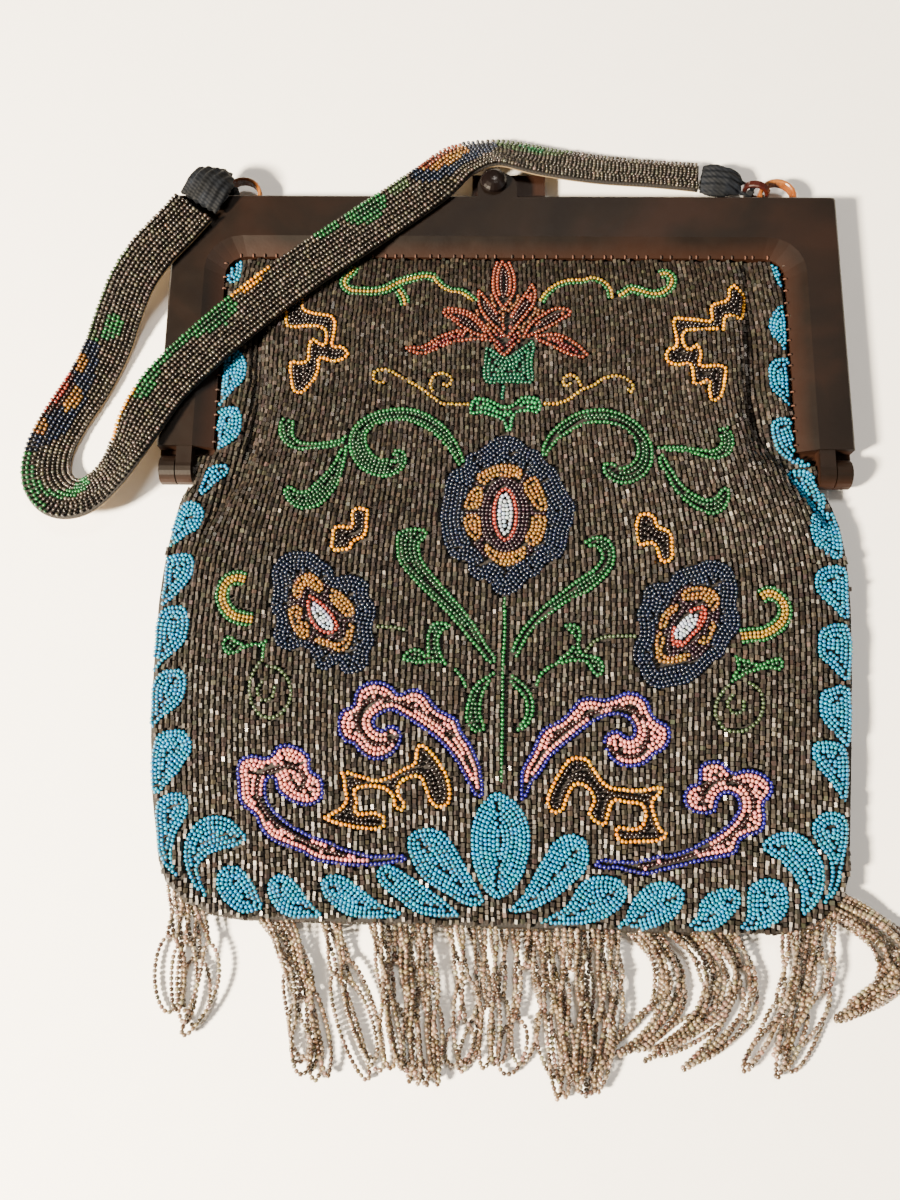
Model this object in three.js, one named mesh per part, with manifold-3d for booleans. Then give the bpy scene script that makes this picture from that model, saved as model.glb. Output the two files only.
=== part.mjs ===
// Beaded evening purse lying on its back: a flat celluloid frame, a beaded cloth bag,
// a beaded band handle and a fringe of bead loops. Millimetres, +Z up, the table is Z = 0,
// the origin is under the middle of the frame's top bar, +Y runs from the bag to the frame.
import * as THREE from 'three';
import { mergeVertices } from 'three/addons/utils/BufferGeometryUtils.js';
import Module from 'manifold-3d';

const wasm = await Module();
wasm.setup();

// Clearance kept between pieces that touch
const gap = 0.3;

// Frame: two flat halves laid face to face, each a wide upside-down U
const frameWidth = 184;
const frameTop = 7.5;
const frameHeight = 74.4;
const barFlat = 12.7;
const legFlat = 9.4;
const bevelWidth = 5.2;
const halfThickness = 3.85;
const lipThickness = 1.6;
const outerCorner = 1;
const bevelCorner = 10;
const windowCorner = 6;
const edgeBreak = 0.5;

// Hinges at the leg ends: a front and a back barrel beside each other on one pin
const barrelRadius = 3.85;
const barrelDrop = 5.7;
const barrelInset = 0.9;
const backBarrelLength = 4.1;
const frontBarrelLength = 4.1;
const pinRadius = 1;

// Clasp on the top bar
const humpCentre = -2;
const humpWidth = 11;
const humpHeight = 7;
const humpRound = 0.8;
const knobCentre = -3;
const knobUp = 4.1;
const knobRadius = 3.75;
const knobHeight = 2.6;
const knobRim = 0.5;
const knobStemRadius = 1.2;
const backTabCentre = 1.4;
const backTabWidth = 20.6;
const backTabHeight = 9.2;

// Handle fittings
const ringRadius = 5.4;
const ringBand = 1.1;
const ringWidth = 3;
const ringUp = 2.1;
const ringInsetLeft = 18;
const ringInsetRight = 15;
const postRadius = 0.85;
const linkRadius = 3.8;
const linkBand = 1.1;
const linkWidth = 2;
const linkAngle = 160;
const leftLoopAngle = 165;

// Handle band
const handleWidth = 13.5;
const handleThickness = 2.6;
const handleRise = 15.1;
const handleSteps = 66;
const handleEndShare = 0.7;
const handleNarrowFrom = 0.86;
const loopWidth = 3.4;
const loopThickness = 1;

// Bag of two beaded cloth walls
const wall = 2;
const bagWidth = 179;
const bagLength = 177;
const hemSkew = 2.2;
const crownHeight = 5.2;
const hemCornerAcross = 20;
const hemCornerDown = 14;
const crownFullness = 5;
const gatherPitch = 13;
const gatherDepth = 0.09;
const gatherReach = 0.35;
const flapShare = 0.1;
const flapRise = 0.5;
const flapReach = 0.4;
const liftReach = 0.1;

// Fringe below the hem
const fringeLength = 36;
const headDepth = 2.4;
const headGap = 0.6;
const headThickness = 4.4;
const lockThickness = 3.4;

// Places that follow from the sizes above
const frontBase = halfThickness + gap;
const frameFace = frontBase + halfThickness;
const middle = frameFace / 2;
const legEnd = frameTop - frameHeight;
const windowTop = frameTop - barFlat - bevelWidth;
const windowHalf = frameWidth / 2 - legFlat - bevelWidth;
const barrelY = legEnd - barrelDrop;
const backLegEnd = barrelY + barrelRadius + gap;
const barrelOuter = frameWidth / 2 - barrelInset;
const barrelSplit = barrelOuter - backBarrelLength;
const barrelInner = barrelSplit - gap - frontBarrelLength;
const mouthY = windowTop - gap;
const hemY = mouthY - bagLength;
const ringY = frameTop + ringUp;
const ringLeft = -(frameWidth / 2 - ringInsetLeft);
const ringRight = frameWidth / 2 - ringInsetRight;
const linkOut = ringRadius - ringBand / 2 + (linkRadius - linkBand) * 0.42;
const handleBase = handleThickness / 2 + gap;
const handleOver = frameFace + gap;
const pocketHalf = ringWidth / 2 + 0.4;

// Bag sides below the hinges: share of the drop, then half widths as shares of half bagWidth
const sides = [
  { down: 0.03, left: 0.955, right: 0.955 },
  { down: 0.08, left: 0.968, right: 0.979 },
  { down: 0.18, left: 0.990, right: 0.994 },
  { down: 0.30, left: 1.000, right: 0.994 },
  { down: 0.42, left: 1.000, right: 0.985 },
  { down: 0.56, left: 0.998, right: 0.972 },
  { down: 0.73, left: 0.979, right: 0.953 },
  { down: 0.86, left: 0.950, right: 0.938 },
  { down: 1.00, left: 0.930, right: 0.922 },
];

// How full the front stands along the bag, as a share of crownHeight
const fullness = [
  { down: 0.00, rise: 0.00 },
  { down: 0.04, rise: 0.34 },
  { down: 0.12, rise: 0.66 },
  { down: 0.28, rise: 0.92 },
  { down: 0.45, rise: 1.00 },
  { down: 0.70, rise: 0.92 },
  { down: 0.88, rise: 0.66 },
  { down: 0.96, rise: 0.30 },
  { down: 1.00, rise: 0.00 },
];

// Side folds where the cloth turns round the frame's legs: share of bagLength from the
// mouth, share of the half width, and how deep the valley cuts into the crown there
const rightFold = [
  { down: 0.00, across: 0.873, depth: 0.25 },
  { down: 0.14, across: 0.864, depth: 0.60 },
  { down: 0.27, across: 0.855, depth: 0.85 },
  { down: 0.31, across: 0.890, depth: 0.90 },
  { down: 0.35, across: 0.905, depth: 0.85 },
  { down: 0.43, across: 0.955, depth: 0.45 },
  { down: 0.50, across: 0.985, depth: 0.00 },
];
const leftFold = [
  { down: 0.00, across: 0.870, depth: 0.25 },
  { down: 0.13, across: 0.873, depth: 0.55 },
  { down: 0.28, across: 0.855, depth: 0.85 },
  { down: 0.37, across: 0.855, depth: 0.90 },
  { down: 0.44, across: 0.885, depth: 0.60 },
  { down: 0.52, across: 0.965, depth: 0.00 },
];
const foldWidth = 0.04;

// Fringe locks: place of the root along the head, root width as a share of the head's
// length, then for the middle and the tip the sideways shift and width, and the drop and
// thickness, all as shares of fringeLength and lockThickness
const locks = [
  { at: 0.055, root: 0.090, shift1: -0.04, width1: 0.42, shift2: 0.08, width2: 0.34, drop: 0.86, high: 0.8 },
  { at: 0.235, root: 0.105, shift1: 0.02, width1: 0.40, shift2: 0.17, width2: 0.20, drop: 0.97, high: 0.8 },
  { at: 0.300, root: 0.070, shift1: 0.05, width1: 0.28, shift2: 0.18, width2: 0.24, drop: 0.96, high: 0.6 },
  { at: 0.370, root: 0.110, shift1: 0.06, width1: 0.50, shift2: 0.06, width2: 0.44, drop: 1.00, high: 1.0 },
  { at: 0.470, root: 0.110, shift1: 0.00, width1: 0.46, shift2: -0.04, width2: 0.36, drop: 0.99, high: 0.8 },
  { at: 0.575, root: 0.120, shift1: 0.04, width1: 0.60, shift2: 0.06, width2: 0.46, drop: 1.03, high: 1.1 },
  { at: 0.645, root: 0.070, shift1: 0.16, width1: 0.30, shift2: 0.08, width2: 0.26, drop: 0.80, high: 0.7 },
  { at: 0.735, root: 0.100, shift1: 0.16, width1: 0.36, shift2: -0.22, width2: 0.34, drop: 0.86, high: 0.9 },
  { at: 0.880, root: 0.120, shift1: 0.30, width1: 0.56, shift2: -0.04, width2: 0.40, drop: 0.99, high: 1.0 },
  { at: 0.955, root: 0.060, shift1: 0.30, width1: 0.34, shift2: 0.34, width2: 0.26, drop: 0.62, high: 0.8 },
];

// Middle line of the handle band as it lies, from the left tab round the loop on the table,
// over the frame and along the top bar to the right tab. across is a share of half the
// frame's width, up a share of handleRise above the top edge or, below it, of the frame's
// height, lift is 0 on the table and 1 on the frame's face, and roll lifts the band's
// right-hand edge, in degrees
const handleRoute = [
  { across: -0.989, up: -0.157, lift: 1.00, roll: 0 },
  { across: -1.050, up: -0.249, lift: 0.98, roll: 0 },
  { across: -1.111, up: -0.351, lift: 0.72, roll: 0 },
  { across: -1.157, up: -0.464, lift: 0.34, roll: 0 },
  { across: -1.191, up: -0.585, lift: 0.06, roll: 0 },
  { across: -1.242, up: -0.735, lift: 0.00, roll: 0 },
  { across: -1.299, up: -0.867, lift: 0.00, roll: 0 },
  { across: -1.336, up: -0.988, lift: 0.02, roll: 2 },
  { across: -1.333, up: -1.098, lift: 0.14, roll: 8 },
  { across: -1.276, up: -1.179, lift: 0.33, roll: 18 },
  { across: -1.198, up: -1.179, lift: 0.49, roll: 28 },
  { across: -1.133, up: -1.109, lift: 0.63, roll: 32 },
  { across: -1.080, up: -1.007, lift: 0.82, roll: 24 },
  { across: -1.037, up: -0.899, lift: 0.98, roll: 6 },
  { across: -0.982, up: -0.784, lift: 1.01, roll: 0 },
  { across: -0.887, up: -0.655, lift: 1.05, roll: 0 },
  { across: -0.762, up: -0.508, lift: 1.11, roll: 0 },
  { across: -0.607, up: -0.340, lift: 1.08, roll: 0 },
  { across: -0.447, up: -0.184, lift: 1.01, roll: 0 },
  { across: -0.315, up: -0.060, lift: 1.00, roll: 0 },
  { across: -0.213, up: 0.207, lift: 0.99, roll: 4 },
  { across: -0.135, up: 0.709, lift: 0.82, roll: 16 },
  { across: -0.020, up: 1.000, lift: 0.52, roll: 28 },
  { across: 0.125, up: 0.882, lift: 0.36, roll: 24 },
  { across: 0.295, up: 0.734, lift: 0.31, roll: 20 },
  { across: 0.449, up: 0.655, lift: 0.30, roll: 16 },
];

// Gathered cloth tabs at the handle's ends, from the band towards the ring. out and up are
// measured from the ring's middle as shares of handleWidth, lift from the frame's mid
// plane as a share of its thickness, width as a share of handleWidth and thick as a share
// of handleThickness
const leftTabShape = [
  { out: -0.830, up: -0.474, lift: 0.788, width: 0.948, thick: 1.08 },
  { out: -0.622, up: -0.148, lift: 0.875, width: 0.993, thick: 1.69 },
  { out: -0.533, up: 0.193, lift: 0.700, width: 0.859, thick: 2.00 },
  { out: -0.519, up: 0.267, lift: 0.250, width: 0.563, thick: 2.08 },
];
const rightTabShape = [
  { out: -1.563, up: 0.467, lift: 0.037, width: 0.696, thick: 1.15 },
  { out: -1.304, up: 0.415, lift: 0.050, width: 0.770, thick: 2.00 },
  { out: -1.022, up: 0.356, lift: 0.050, width: 0.696, thick: 2.08 },
  { out: -0.815, up: 0.296, lift: 0.025, width: 0.504, thick: 1.31 },
];

const celluloid = new THREE.MeshStandardMaterial({ color: 0x4b3a30, roughness: 0.38, metalness: 0 });
const bevelCelluloid = new THREE.MeshStandardMaterial({ color: 0x40312a, roughness: 0.4, metalness: 0 });
const steel = new THREE.MeshStandardMaterial({ color: 0x5a5650, roughness: 0.4, metalness: 0.9 });
const knobPlastic = new THREE.MeshStandardMaterial({ color: 0x241a18, roughness: 0.15, metalness: 0 });
const amber = new THREE.MeshStandardMaterial({ color: 0x8a4f26, roughness: 0.25, metalness: 0 });
const darkAmber = new THREE.MeshStandardMaterial({ color: 0x3a1f1c, roughness: 0.3, metalness: 0 });
const tabCloth = new THREE.MeshStandardMaterial({ color: 0x1f2833, roughness: 0.95, metalness: 0 });
const handleBeads = new THREE.MeshStandardMaterial({ color: 0x5a5148, roughness: 0.5, metalness: 0.2 });
const groundBeads = new THREE.MeshStandardMaterial({ color: 0x4a4138, roughness: 0.45, metalness: 0.2 });
const fringeBeads = new THREE.MeshStandardMaterial({ color: 0x9a8878, roughness: 0.4, metalness: 0.1 });

const radians = Math.PI / 180;

// A closed geometry from a flat list of corners and triangles
function geometryOf(points, triangles) {
  const geometry = new THREE.BufferGeometry();
  geometry.setAttribute('position', new THREE.Float32BufferAttribute(points.flat(), 3));
  geometry.setIndex(triangles.flat());
  return geometry;
}

// A solid through rings of equally many corners, with a fan closing each end
function loft(rings) {
  const count = rings[0].length;
  const triangles = [];
  for (let i = 0; i < rings.length - 1; i += 1) {
    for (let j = 0; j < count; j += 1) {
      const a = i * count + j;
      const b = i * count + (j + 1) % count;
      triangles.push([a, b, b + count], [a, b + count, a + count]);
    }
  }
  const last = (rings.length - 1) * count;
  for (let j = 1; j < count - 1; j += 1) {
    triangles.push([0, j + 1, j], [last, last + j, last + j + 1]);
  }
  return outward(geometryOf(rings.flat(), triangles));
}

// Signed volume of a closed geometry, positive when its faces point outwards
function signedVolume(geometry) {
  const p = geometry.getAttribute('position');
  const index = geometry.getIndex();
  const corner = [new THREE.Vector3(), new THREE.Vector3(), new THREE.Vector3()];
  let volume = 0;
  for (let i = 0; i < index.count; i += 3) {
    corner.forEach((v, k) => v.fromBufferAttribute(p, index.getX(i + k)));
    volume += corner[0].dot(corner[1].cross(corner[2])) / 6;
  }
  return volume;
}

// Turns a closed geometry's faces outwards if they point inwards
function outward(geometry) {
  if (signedVolume(geometry) < 0) {
    const index = Array.from(geometry.getIndex().array);
    for (let i = 0; i < index.length; i += 3) {
      [index[i + 1], index[i + 2]] = [index[i + 2], index[i + 1]];
    }
    geometry.setIndex(index);
  }
  return geometry;
}

// three.js geometry to a manifold solid, and back
function solidOf(geometry) {
  const bare = geometry.clone();
  bare.deleteAttribute('normal');
  bare.deleteAttribute('uv');
  const merged = mergeVertices(bare, 1e-4);
  return new wasm.Manifold(new wasm.Mesh({
    numProp: 3,
    vertProperties: new Float32Array(merged.getAttribute('position').array),
    triVerts: new Uint32Array(merged.getIndex().array),
  }));
}

function geometryFrom(solid) {
  const mesh = solid.getMesh();
  const geometry = new THREE.BufferGeometry();
  geometry.setAttribute('position', new THREE.BufferAttribute(new Float32Array(mesh.vertProperties), 3));
  geometry.setIndex(new THREE.BufferAttribute(new Uint32Array(mesh.triVerts), 1));
  return geometry;
}

function box(x0, x1, y0, y1, z0, z1) {
  const geometry = new THREE.BoxGeometry(x1 - x0, y1 - y0, z1 - z0);
  geometry.translate((x0 + x1) / 2, (y0 + y1) / 2, (z0 + z1) / 2);
  return geometry;
}

// Round bar along X or Z between two places
function barAlongX(x0, x1, y, z, radius, segments = 20) {
  const geometry = new THREE.CylinderGeometry(radius, radius, x1 - x0, segments);
  geometry.rotateZ(-Math.PI / 2);
  geometry.translate((x0 + x1) / 2, y, z);
  return geometry;
}

function barAlongZ(x, y, z0, z1, radius, segments = 14) {
  const geometry = new THREE.CylinderGeometry(radius, radius, z1 - z0, segments);
  geometry.rotateX(Math.PI / 2);
  geometry.translate(x, y, (z0 + z1) / 2);
  return geometry;
}

// Value of one named column of a table at a place, straight between rows
function along(table, key, at) {
  const last = table.length - 1;
  if (at <= table[0].down) return table[0][key];
  if (at >= table[last].down) return table[last][key];
  const i = table.findIndex((row) => row.down > at) - 1;
  const share = (at - table[i].down) / (table[i + 1].down - table[i].down);
  return table[i][key] + share * (table[i + 1][key] - table[i][key]);
}

// Plan line of the upside-down U, inset from the outer edge, with round top corners
function rail(insetSide, insetTop, radius, end) {
  const x = frameWidth / 2 - insetSide;
  const y = frameTop - insetTop;
  const arcSteps = 5;
  const line = [[-x, end]];
  for (let i = 0; i <= arcSteps; i += 1) {
    const turn = (i / arcSteps) * Math.PI / 2;
    line.push([-x + radius * (1 - Math.cos(turn)), y - radius * (1 - Math.sin(turn))]);
  }
  const right = line.map(([px, py]) => [-px, py]).reverse();
  return line.concat(right);
}

// One half of the frame: flat face, bevel falling to a thin lip round the window
function frameHalf(base, face, end) {
  const lip = base + Math.sign(face - base) * lipThickness;
  const broken = face - Math.sign(face - base) * edgeBreak;
  const outer = rail(0, 0, outerCorner, end);
  const shoulder = rail(edgeBreak, edgeBreak, outerCorner, end);
  const bevel = rail(legFlat, barFlat, bevelCorner, end);
  const window = rail(legFlat + bevelWidth, barFlat + bevelWidth, windowCorner, end);
  const rings = outer.map((_, i) => [
    [...outer[i], base],
    [...outer[i], broken],
    [...shoulder[i], face],
    [...bevel[i], face],
    [...window[i], lip],
    [...window[i], base],
  ]);
  return solidOf(loft(rings));
}

// A barrel with its web up to the leg, on one side
function barrel(side, x0, x1, webBase, webFace, webTop) {
  const from = Math.min(side * x0, side * x1);
  const to = Math.max(side * x0, side * x1);
  const round = solidOf(barAlongX(from, to, barrelY, middle, barrelRadius));
  const web = solidOf(box(from, to, barrelY, webTop, webBase, webFace));
  const bore = solidOf(barAlongX(from - 1, to + 1, barrelY, middle, pinRadius + gap, 14));
  return round.add(web).subtract(bore);
}

// Pocket in the top bar where a handle ring goes round its post
function pocket(seat) {
  const half = ringRadius + gap;
  const y0 = ringY - ringRadius - gap;
  return solidOf(box(seat - half, seat + half, y0, frameTop + 1, middle - pocketHalf, middle + pocketHalf));
}

function frontHalf() {
  const humpShape = new THREE.Shape();
  const half = humpWidth / 2;
  const round = half * humpRound;
  humpShape.moveTo(-half, -2);
  humpShape.lineTo(half, -2);
  humpShape.lineTo(half, humpHeight - round);
  humpShape.absarc(half - round, humpHeight - round, round, 0, Math.PI / 2, false);
  humpShape.lineTo(-half + round, humpHeight);
  humpShape.absarc(-half + round, humpHeight - round, round, Math.PI / 2, Math.PI, false);
  humpShape.closePath();
  const hump = new THREE.ExtrudeGeometry(
    humpShape,
    { depth: halfThickness, bevelEnabled: false, curveSegments: 6 },
  );
  hump.translate(humpCentre, frameTop, frontBase);
  const holeRadius = knobStemRadius + gap;
  const stemHole = barAlongZ(knobCentre, frameTop + knobUp, frontBase - 1, frameFace + 1, holeRadius);
  let solid = frameHalf(frontBase, frameFace, legEnd)
    .add(solidOf(mergeVertices(hump)))
    .subtract(solidOf(stemHole));
  for (const side of [-1, 1]) {
    solid = solid.add(barrel(side, barrelInner, barrelSplit - gap, frontBase, frameFace - gap, legEnd + 1));
  }
  for (const seat of [ringLeft, ringRight]) {
    solid = solid.subtract(pocket(seat));
  }
  return geometryFrom(solid);
}

function backHalf() {
  const tab = box(
    backTabCentre - backTabWidth / 2, backTabCentre + backTabWidth / 2,
    frameTop - 2, frameTop + backTabHeight, 0, halfThickness,
  );
  let solid = frameHalf(halfThickness, 0, backLegEnd).add(solidOf(tab));
  for (const side of [-1, 1]) {
    solid = solid.add(barrel(side, barrelSplit, barrelOuter, gap, halfThickness - gap, backLegEnd + 1));
  }
  for (const seat of [ringLeft, ringRight]) {
    const post = barAlongZ(seat, ringY - ringRadius + ringBand + gap + postRadius,
      middle - pocketHalf - 1, middle + pocketHalf - gap, postRadius);
    solid = solid.subtract(pocket(seat)).add(solidOf(post));
  }
  return geometryFrom(solid);
}

function hingePin(side) {
  const middleX = side * (barrelInner + barrelOuter) / 2;
  const half = (barrelOuter - barrelInner) / 2;
  return barAlongX(middleX - half, middleX + half, barrelY, middle, pinRadius, 12);
}

// Low turned button on a short stem through the front half
function claspKnob() {
  const under = frameFace + gap;
  const profile = [new THREE.Vector2(0, frontBase)];
  profile.push(new THREE.Vector2(knobStemRadius, frontBase));
  profile.push(new THREE.Vector2(knobStemRadius, under));
  profile.push(new THREE.Vector2(knobRadius * 0.9, under));
  const domeSteps = 5;
  for (let i = 0; i <= domeSteps; i += 1) {
    const turn = (i / domeSteps) * Math.PI / 2;
    const radius = i === domeSteps ? 0 : knobRadius * Math.cos(turn);
    profile.push(new THREE.Vector2(radius, under + knobRim + (knobHeight - knobRim) * Math.sin(turn)));
  }
  const geometry = new THREE.LatheGeometry(profile, 20);
  geometry.rotateX(Math.PI / 2);
  geometry.translate(knobCentre, frameTop + knobUp, 0);
  return geometry;
}

// Flat band ring round the Z axis with softened edges
function bandRing(radius, band, width, steps) {
  const edge = band * 0.25;
  const inner = radius - band;
  const half = width / 2;
  const profile = [
    [inner, -half + edge], [inner + edge, -half], [radius - edge, -half], [radius, -half + edge],
    [radius, half - edge], [radius - edge, half], [inner + edge, half], [inner, half - edge],
    [inner, -half + edge],
  ].map(([r, h]) => new THREE.Vector2(r, h));
  const geometry = new THREE.LatheGeometry(profile, steps);
  geometry.rotateX(Math.PI / 2);
  return geometry;
}

// Stations of a tab in place: the rows of its table, then its loop, which goes straight
// through the hole it is linked in
function tabStations(shape, ringX, loop) {
  const body = shape.map((row) => ({
    centre: new THREE.Vector3(
      ringX + row.out * handleWidth,
      ringY + row.up * handleWidth,
      middle + row.lift * frameFace,
    ),
    width: row.width * handleWidth,
    thick: row.thick * handleThickness,
  }));
  const turn = loop.angle * radians;
  const ends = loop.outs.map((out) => ({
    centre: new THREE.Vector3(ringX + out * Math.cos(turn), ringY + out * Math.sin(turn), middle),
    width: loop.width,
    thick: loop.thick,
  }));
  return body.concat(ends);
}

// Cloth tab lofted through rounded, lightly pleated sections that stand across its path
function tabBody(stations) {
  const curve = new THREE.CatmullRomCurve3(stations.map(({ centre }) => centre), false, 'centripetal');
  const steps = (stations.length - 1) * 2;
  const sectionSides = 12;
  const pleats = 3;
  const pleatDepth = 0.08;
  const rings = [];
  for (let i = 0; i <= steps; i += 1) {
    const t = i / steps;
    const place = t * (stations.length - 1);
    const row = Math.min(Math.floor(place), stations.length - 2);
    const width = THREE.MathUtils.lerp(stations[row].width, stations[row + 1].width, place - row);
    const thick = THREE.MathUtils.lerp(stations[row].thick, stations[row + 1].thick, place - row);
    const centre = curve.getPoint(t);
    const tangent = curve.getTangent(t);
    const across = new THREE.Vector3(tangent.y, -tangent.x, 0).normalize();
    const up = new THREE.Vector3().crossVectors(across, tangent).normalize();
    const ring = [];
    for (let j = 0; j < sectionSides; j += 1) {
      const turn = (j / sectionSides) * 2 * Math.PI;
      const pleat = 1 + pleatDepth * Math.cos(pleats * turn);
      const p = centre.clone()
        .addScaledVector(across, Math.cos(turn) * pleat * width / 2)
        .addScaledVector(up, Math.sin(turn) * thick / 2);
      ring.push([p.x, p.y, p.z]);
    }
    rings.push(ring);
  }
  return solidOf(loft(rings));
}

// The left tab's loop stands round the ring's band, the right tab's lies flat round the
// standing band of the link ring
function leftTabStations() {
  const bandOut = ringRadius - ringBand / 2;
  const reach = ringBand / 2 + 2 * gap + 2 * loopThickness;
  return tabStations(leftTabShape, ringLeft, {
    angle: leftLoopAngle,
    outs: [bandOut, bandOut - reach],
    width: loopWidth,
    thick: ringWidth + 2 * gap + 2 * loopThickness,
  });
}

function rightTabStations() {
  const bandOut = linkOut + linkRadius - linkBand / 2;
  const reach = linkBand / 2 + gap + 2 * loopThickness;
  return tabStations(rightTabShape, ringRight, {
    angle: linkAngle,
    outs: [bandOut + linkBand, bandOut - reach],
    width: linkWidth + 2 * gap + 2.6 * loopThickness,
    thick: 1.6 * loopThickness,
  });
}

function eye(ringX, angle, out, along, across, high) {
  const slot = new THREE.BoxGeometry(along, across, high);
  slot.translate(out, 0, 0);
  slot.rotateZ(angle * radians);
  slot.translate(ringX, ringY, middle);
  return solidOf(slot);
}

function leftTab() {
  const out = ringRadius - ringBand / 2;
  const slot = eye(ringLeft, leftLoopAngle, out, ringBand + 4 * gap, handleWidth, ringWidth + 2 * gap);
  return geometryFrom(tabBody(leftTabStations()).subtract(slot));
}

function rightTab() {
  const out = linkOut + linkRadius - linkBand / 2;
  const slot = eye(ringRight, linkAngle, out, linkBand + 3 * gap, linkWidth + 2 * gap, handleWidth);
  return geometryFrom(tabBody(rightTabStations()).subtract(slot));
}

function linkRing() {
  const geometry = bandRing(linkRadius, linkBand, linkWidth, 16);
  geometry.rotateX(Math.PI / 2);
  geometry.translate(linkOut, 0, 0);
  geometry.rotateZ(linkAngle * radians);
  geometry.translate(ringRight, ringY, middle);
  return geometry;
}

function handleRing(seat) {
  const geometry = bandRing(ringRadius, ringBand, ringWidth, 22);
  geometry.translate(seat, ringY, middle);
  return geometry;
}

// Points of the handle's route, which starts and ends a small gap from the tabs
function handlePoints() {
  const route = handleRoute.map((row) => ({
    centre: new THREE.Vector3(
      row.across * frameWidth / 2,
      frameTop + row.up * (row.up > 0 ? handleRise : frameHeight),
      handleBase + row.lift * handleOver,
    ),
    roll: row.roll,
  }));
  const endAt = (stations, roll) => {
    const back = stations[0].centre.clone().sub(stations[1].centre).normalize();
    return { centre: stations[0].centre.clone().addScaledVector(back, 3 * gap), roll };
  };
  return [endAt(leftTabStations(), 0), ...route, endAt(rightTabStations(), 8)];
}

// The handle band: a flat rounded section carried along its route and rolled with it, which
// is drawn together where it comes to the right tab
function handleBand() {
  const route = handlePoints();
  const curve = new THREE.CatmullRomCurve3(route.map(({ centre }) => centre), false, 'centripetal');
  const half = handleWidth / 2;
  const thick = handleThickness / 2;
  const section = [
    [-half, 0], [-half * 0.94, thick * 0.75], [-half * 0.8, thick], [half * 0.8, thick],
    [half * 0.94, thick * 0.75], [half, 0], [half * 0.94, -thick * 0.75], [half * 0.8, -thick],
    [-half * 0.8, -thick], [-half * 0.94, -thick * 0.75],
  ];
  const rings = [];
  for (let i = 0; i <= handleSteps; i += 1) {
    const t = i / handleSteps;
    const place = t * (route.length - 1);
    const row = Math.min(Math.floor(place), route.length - 2);
    const roll = THREE.MathUtils.lerp(route[row].roll, route[row + 1].roll, place - row) * radians;
    const centre = curve.getPoint(t);
    const tangent = curve.getTangent(t);
    const right = new THREE.Vector3(tangent.y, -tangent.x, 0).normalize();
    const up = new THREE.Vector3().crossVectors(right, tangent).normalize();
    const side = right.clone().multiplyScalar(Math.cos(roll)).addScaledVector(up, Math.sin(roll));
    const normal = up.clone().multiplyScalar(Math.cos(roll)).addScaledVector(right, -Math.sin(roll));
    const drawn = THREE.MathUtils.smoothstep(t, handleNarrowFrom, 1);
    const share = THREE.MathUtils.lerp(1, handleEndShare, drawn);
    rings.push(section.map(([s, n]) => {
      const p = centre.clone().addScaledVector(side, s * share).addScaledVector(normal, n);
      return [p.x, p.y, p.z];
    }));
  }
  return loft(rings);
}

// Half width of the bag on one side at a height Y, before its corners are rounded
function sideAt(key, y) {
  const windowEdge = windowHalf - gap;
  const hingeEdge = barrelInner - gap;
  const legRows = [
    { down: -mouthY, x: windowEdge },
    { down: -backLegEnd + gap, x: windowEdge },
    { down: -barrelY - barrelRadius / 2, x: hingeEdge },
    { down: -barrelY + barrelRadius + gap, x: hingeEdge },
  ];
  const hingeEnd = legRows[3].down;
  if (-y <= hingeEnd) return along(legRows, 'x', -y);
  const down = (-y - hingeEnd) / (-hemY - hingeEnd);
  if (down < sides[0].down) {
    const share = down / sides[0].down;
    return THREE.MathUtils.lerp(hingeEdge, sides[0][key] * bagWidth / 2, share);
  }
  return along(sides, key, down) * bagWidth / 2;
}

// Half width at Y with the corners of the mouth and of the hem rounded
function edgeAt(key, y) {
  let x = sideAt(key, y);
  const mouthCorner = windowCorner;
  const fromMouth = mouthY - y;
  if (fromMouth < mouthCorner) {
    const rise = 1 - fromMouth / mouthCorner;
    x -= mouthCorner * (1 - Math.sqrt(Math.max(0, 1 - rise * rise)));
  }
  const fromHem = y - hemY;
  if (fromHem < hemCornerDown) {
    const fall = 1 - fromHem / hemCornerDown;
    x -= hemCornerAcross * (1 - Math.sqrt(Math.max(0, 1 - fall * fall)));
  }
  return x;
}

// Heights of the rows of the bag's grid: the mouth's corners, the window, one row at each
// end of the hinge barrels, the body, and the hem's corners
function bagRows(windowRows, bodyRows) {
  const rows = [];
  const arcRows = 3;
  for (let i = 0; i < arcRows; i += 1) {
    rows.push(mouthY - windowCorner * (1 - Math.cos((i / arcRows) * Math.PI / 2)));
  }
  const top = mouthY - windowCorner;
  const windowEnd = backLegEnd - gap;
  for (let i = 0; i <= windowRows; i += 1) {
    rows.push(THREE.MathUtils.lerp(top, windowEnd, i / windowRows));
  }
  const hingeEnd = barrelY - barrelRadius - gap;
  rows.push(barrelY + barrelRadius / 2, hingeEnd);
  const bodyTop = THREE.MathUtils.lerp(hingeEnd, hemY, sides[0].down);
  const bodyEnd = hemY + hemCornerDown;
  for (let i = 0; i <= bodyRows; i += 1) {
    rows.push(THREE.MathUtils.lerp(bodyTop, bodyEnd, i / bodyRows));
  }
  const hemRows = 4;
  for (let i = 1; i <= hemRows; i += 1) {
    rows.push(bodyEnd - hemCornerDown * Math.sin((i / hemRows) * Math.PI / 2));
  }
  return rows;
}

// Shares across the bag from -1 to 1, closer together towards the side folds
function bagColumns(count) {
  return Array.from({ length: count + 1 }, (_, i) => Math.sin((2 * i / count - 1) * Math.PI / 2));
}

// Depth of the side folds at a share down and across, as a share of the crown
function foldAt(down, across) {
  const table = across > 0 ? rightFold : leftFold;
  const off = (Math.abs(across) - along(table, 'across', down)) / foldWidth;
  return along(table, 'depth', down) * Math.exp(-off * off);
}

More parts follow.
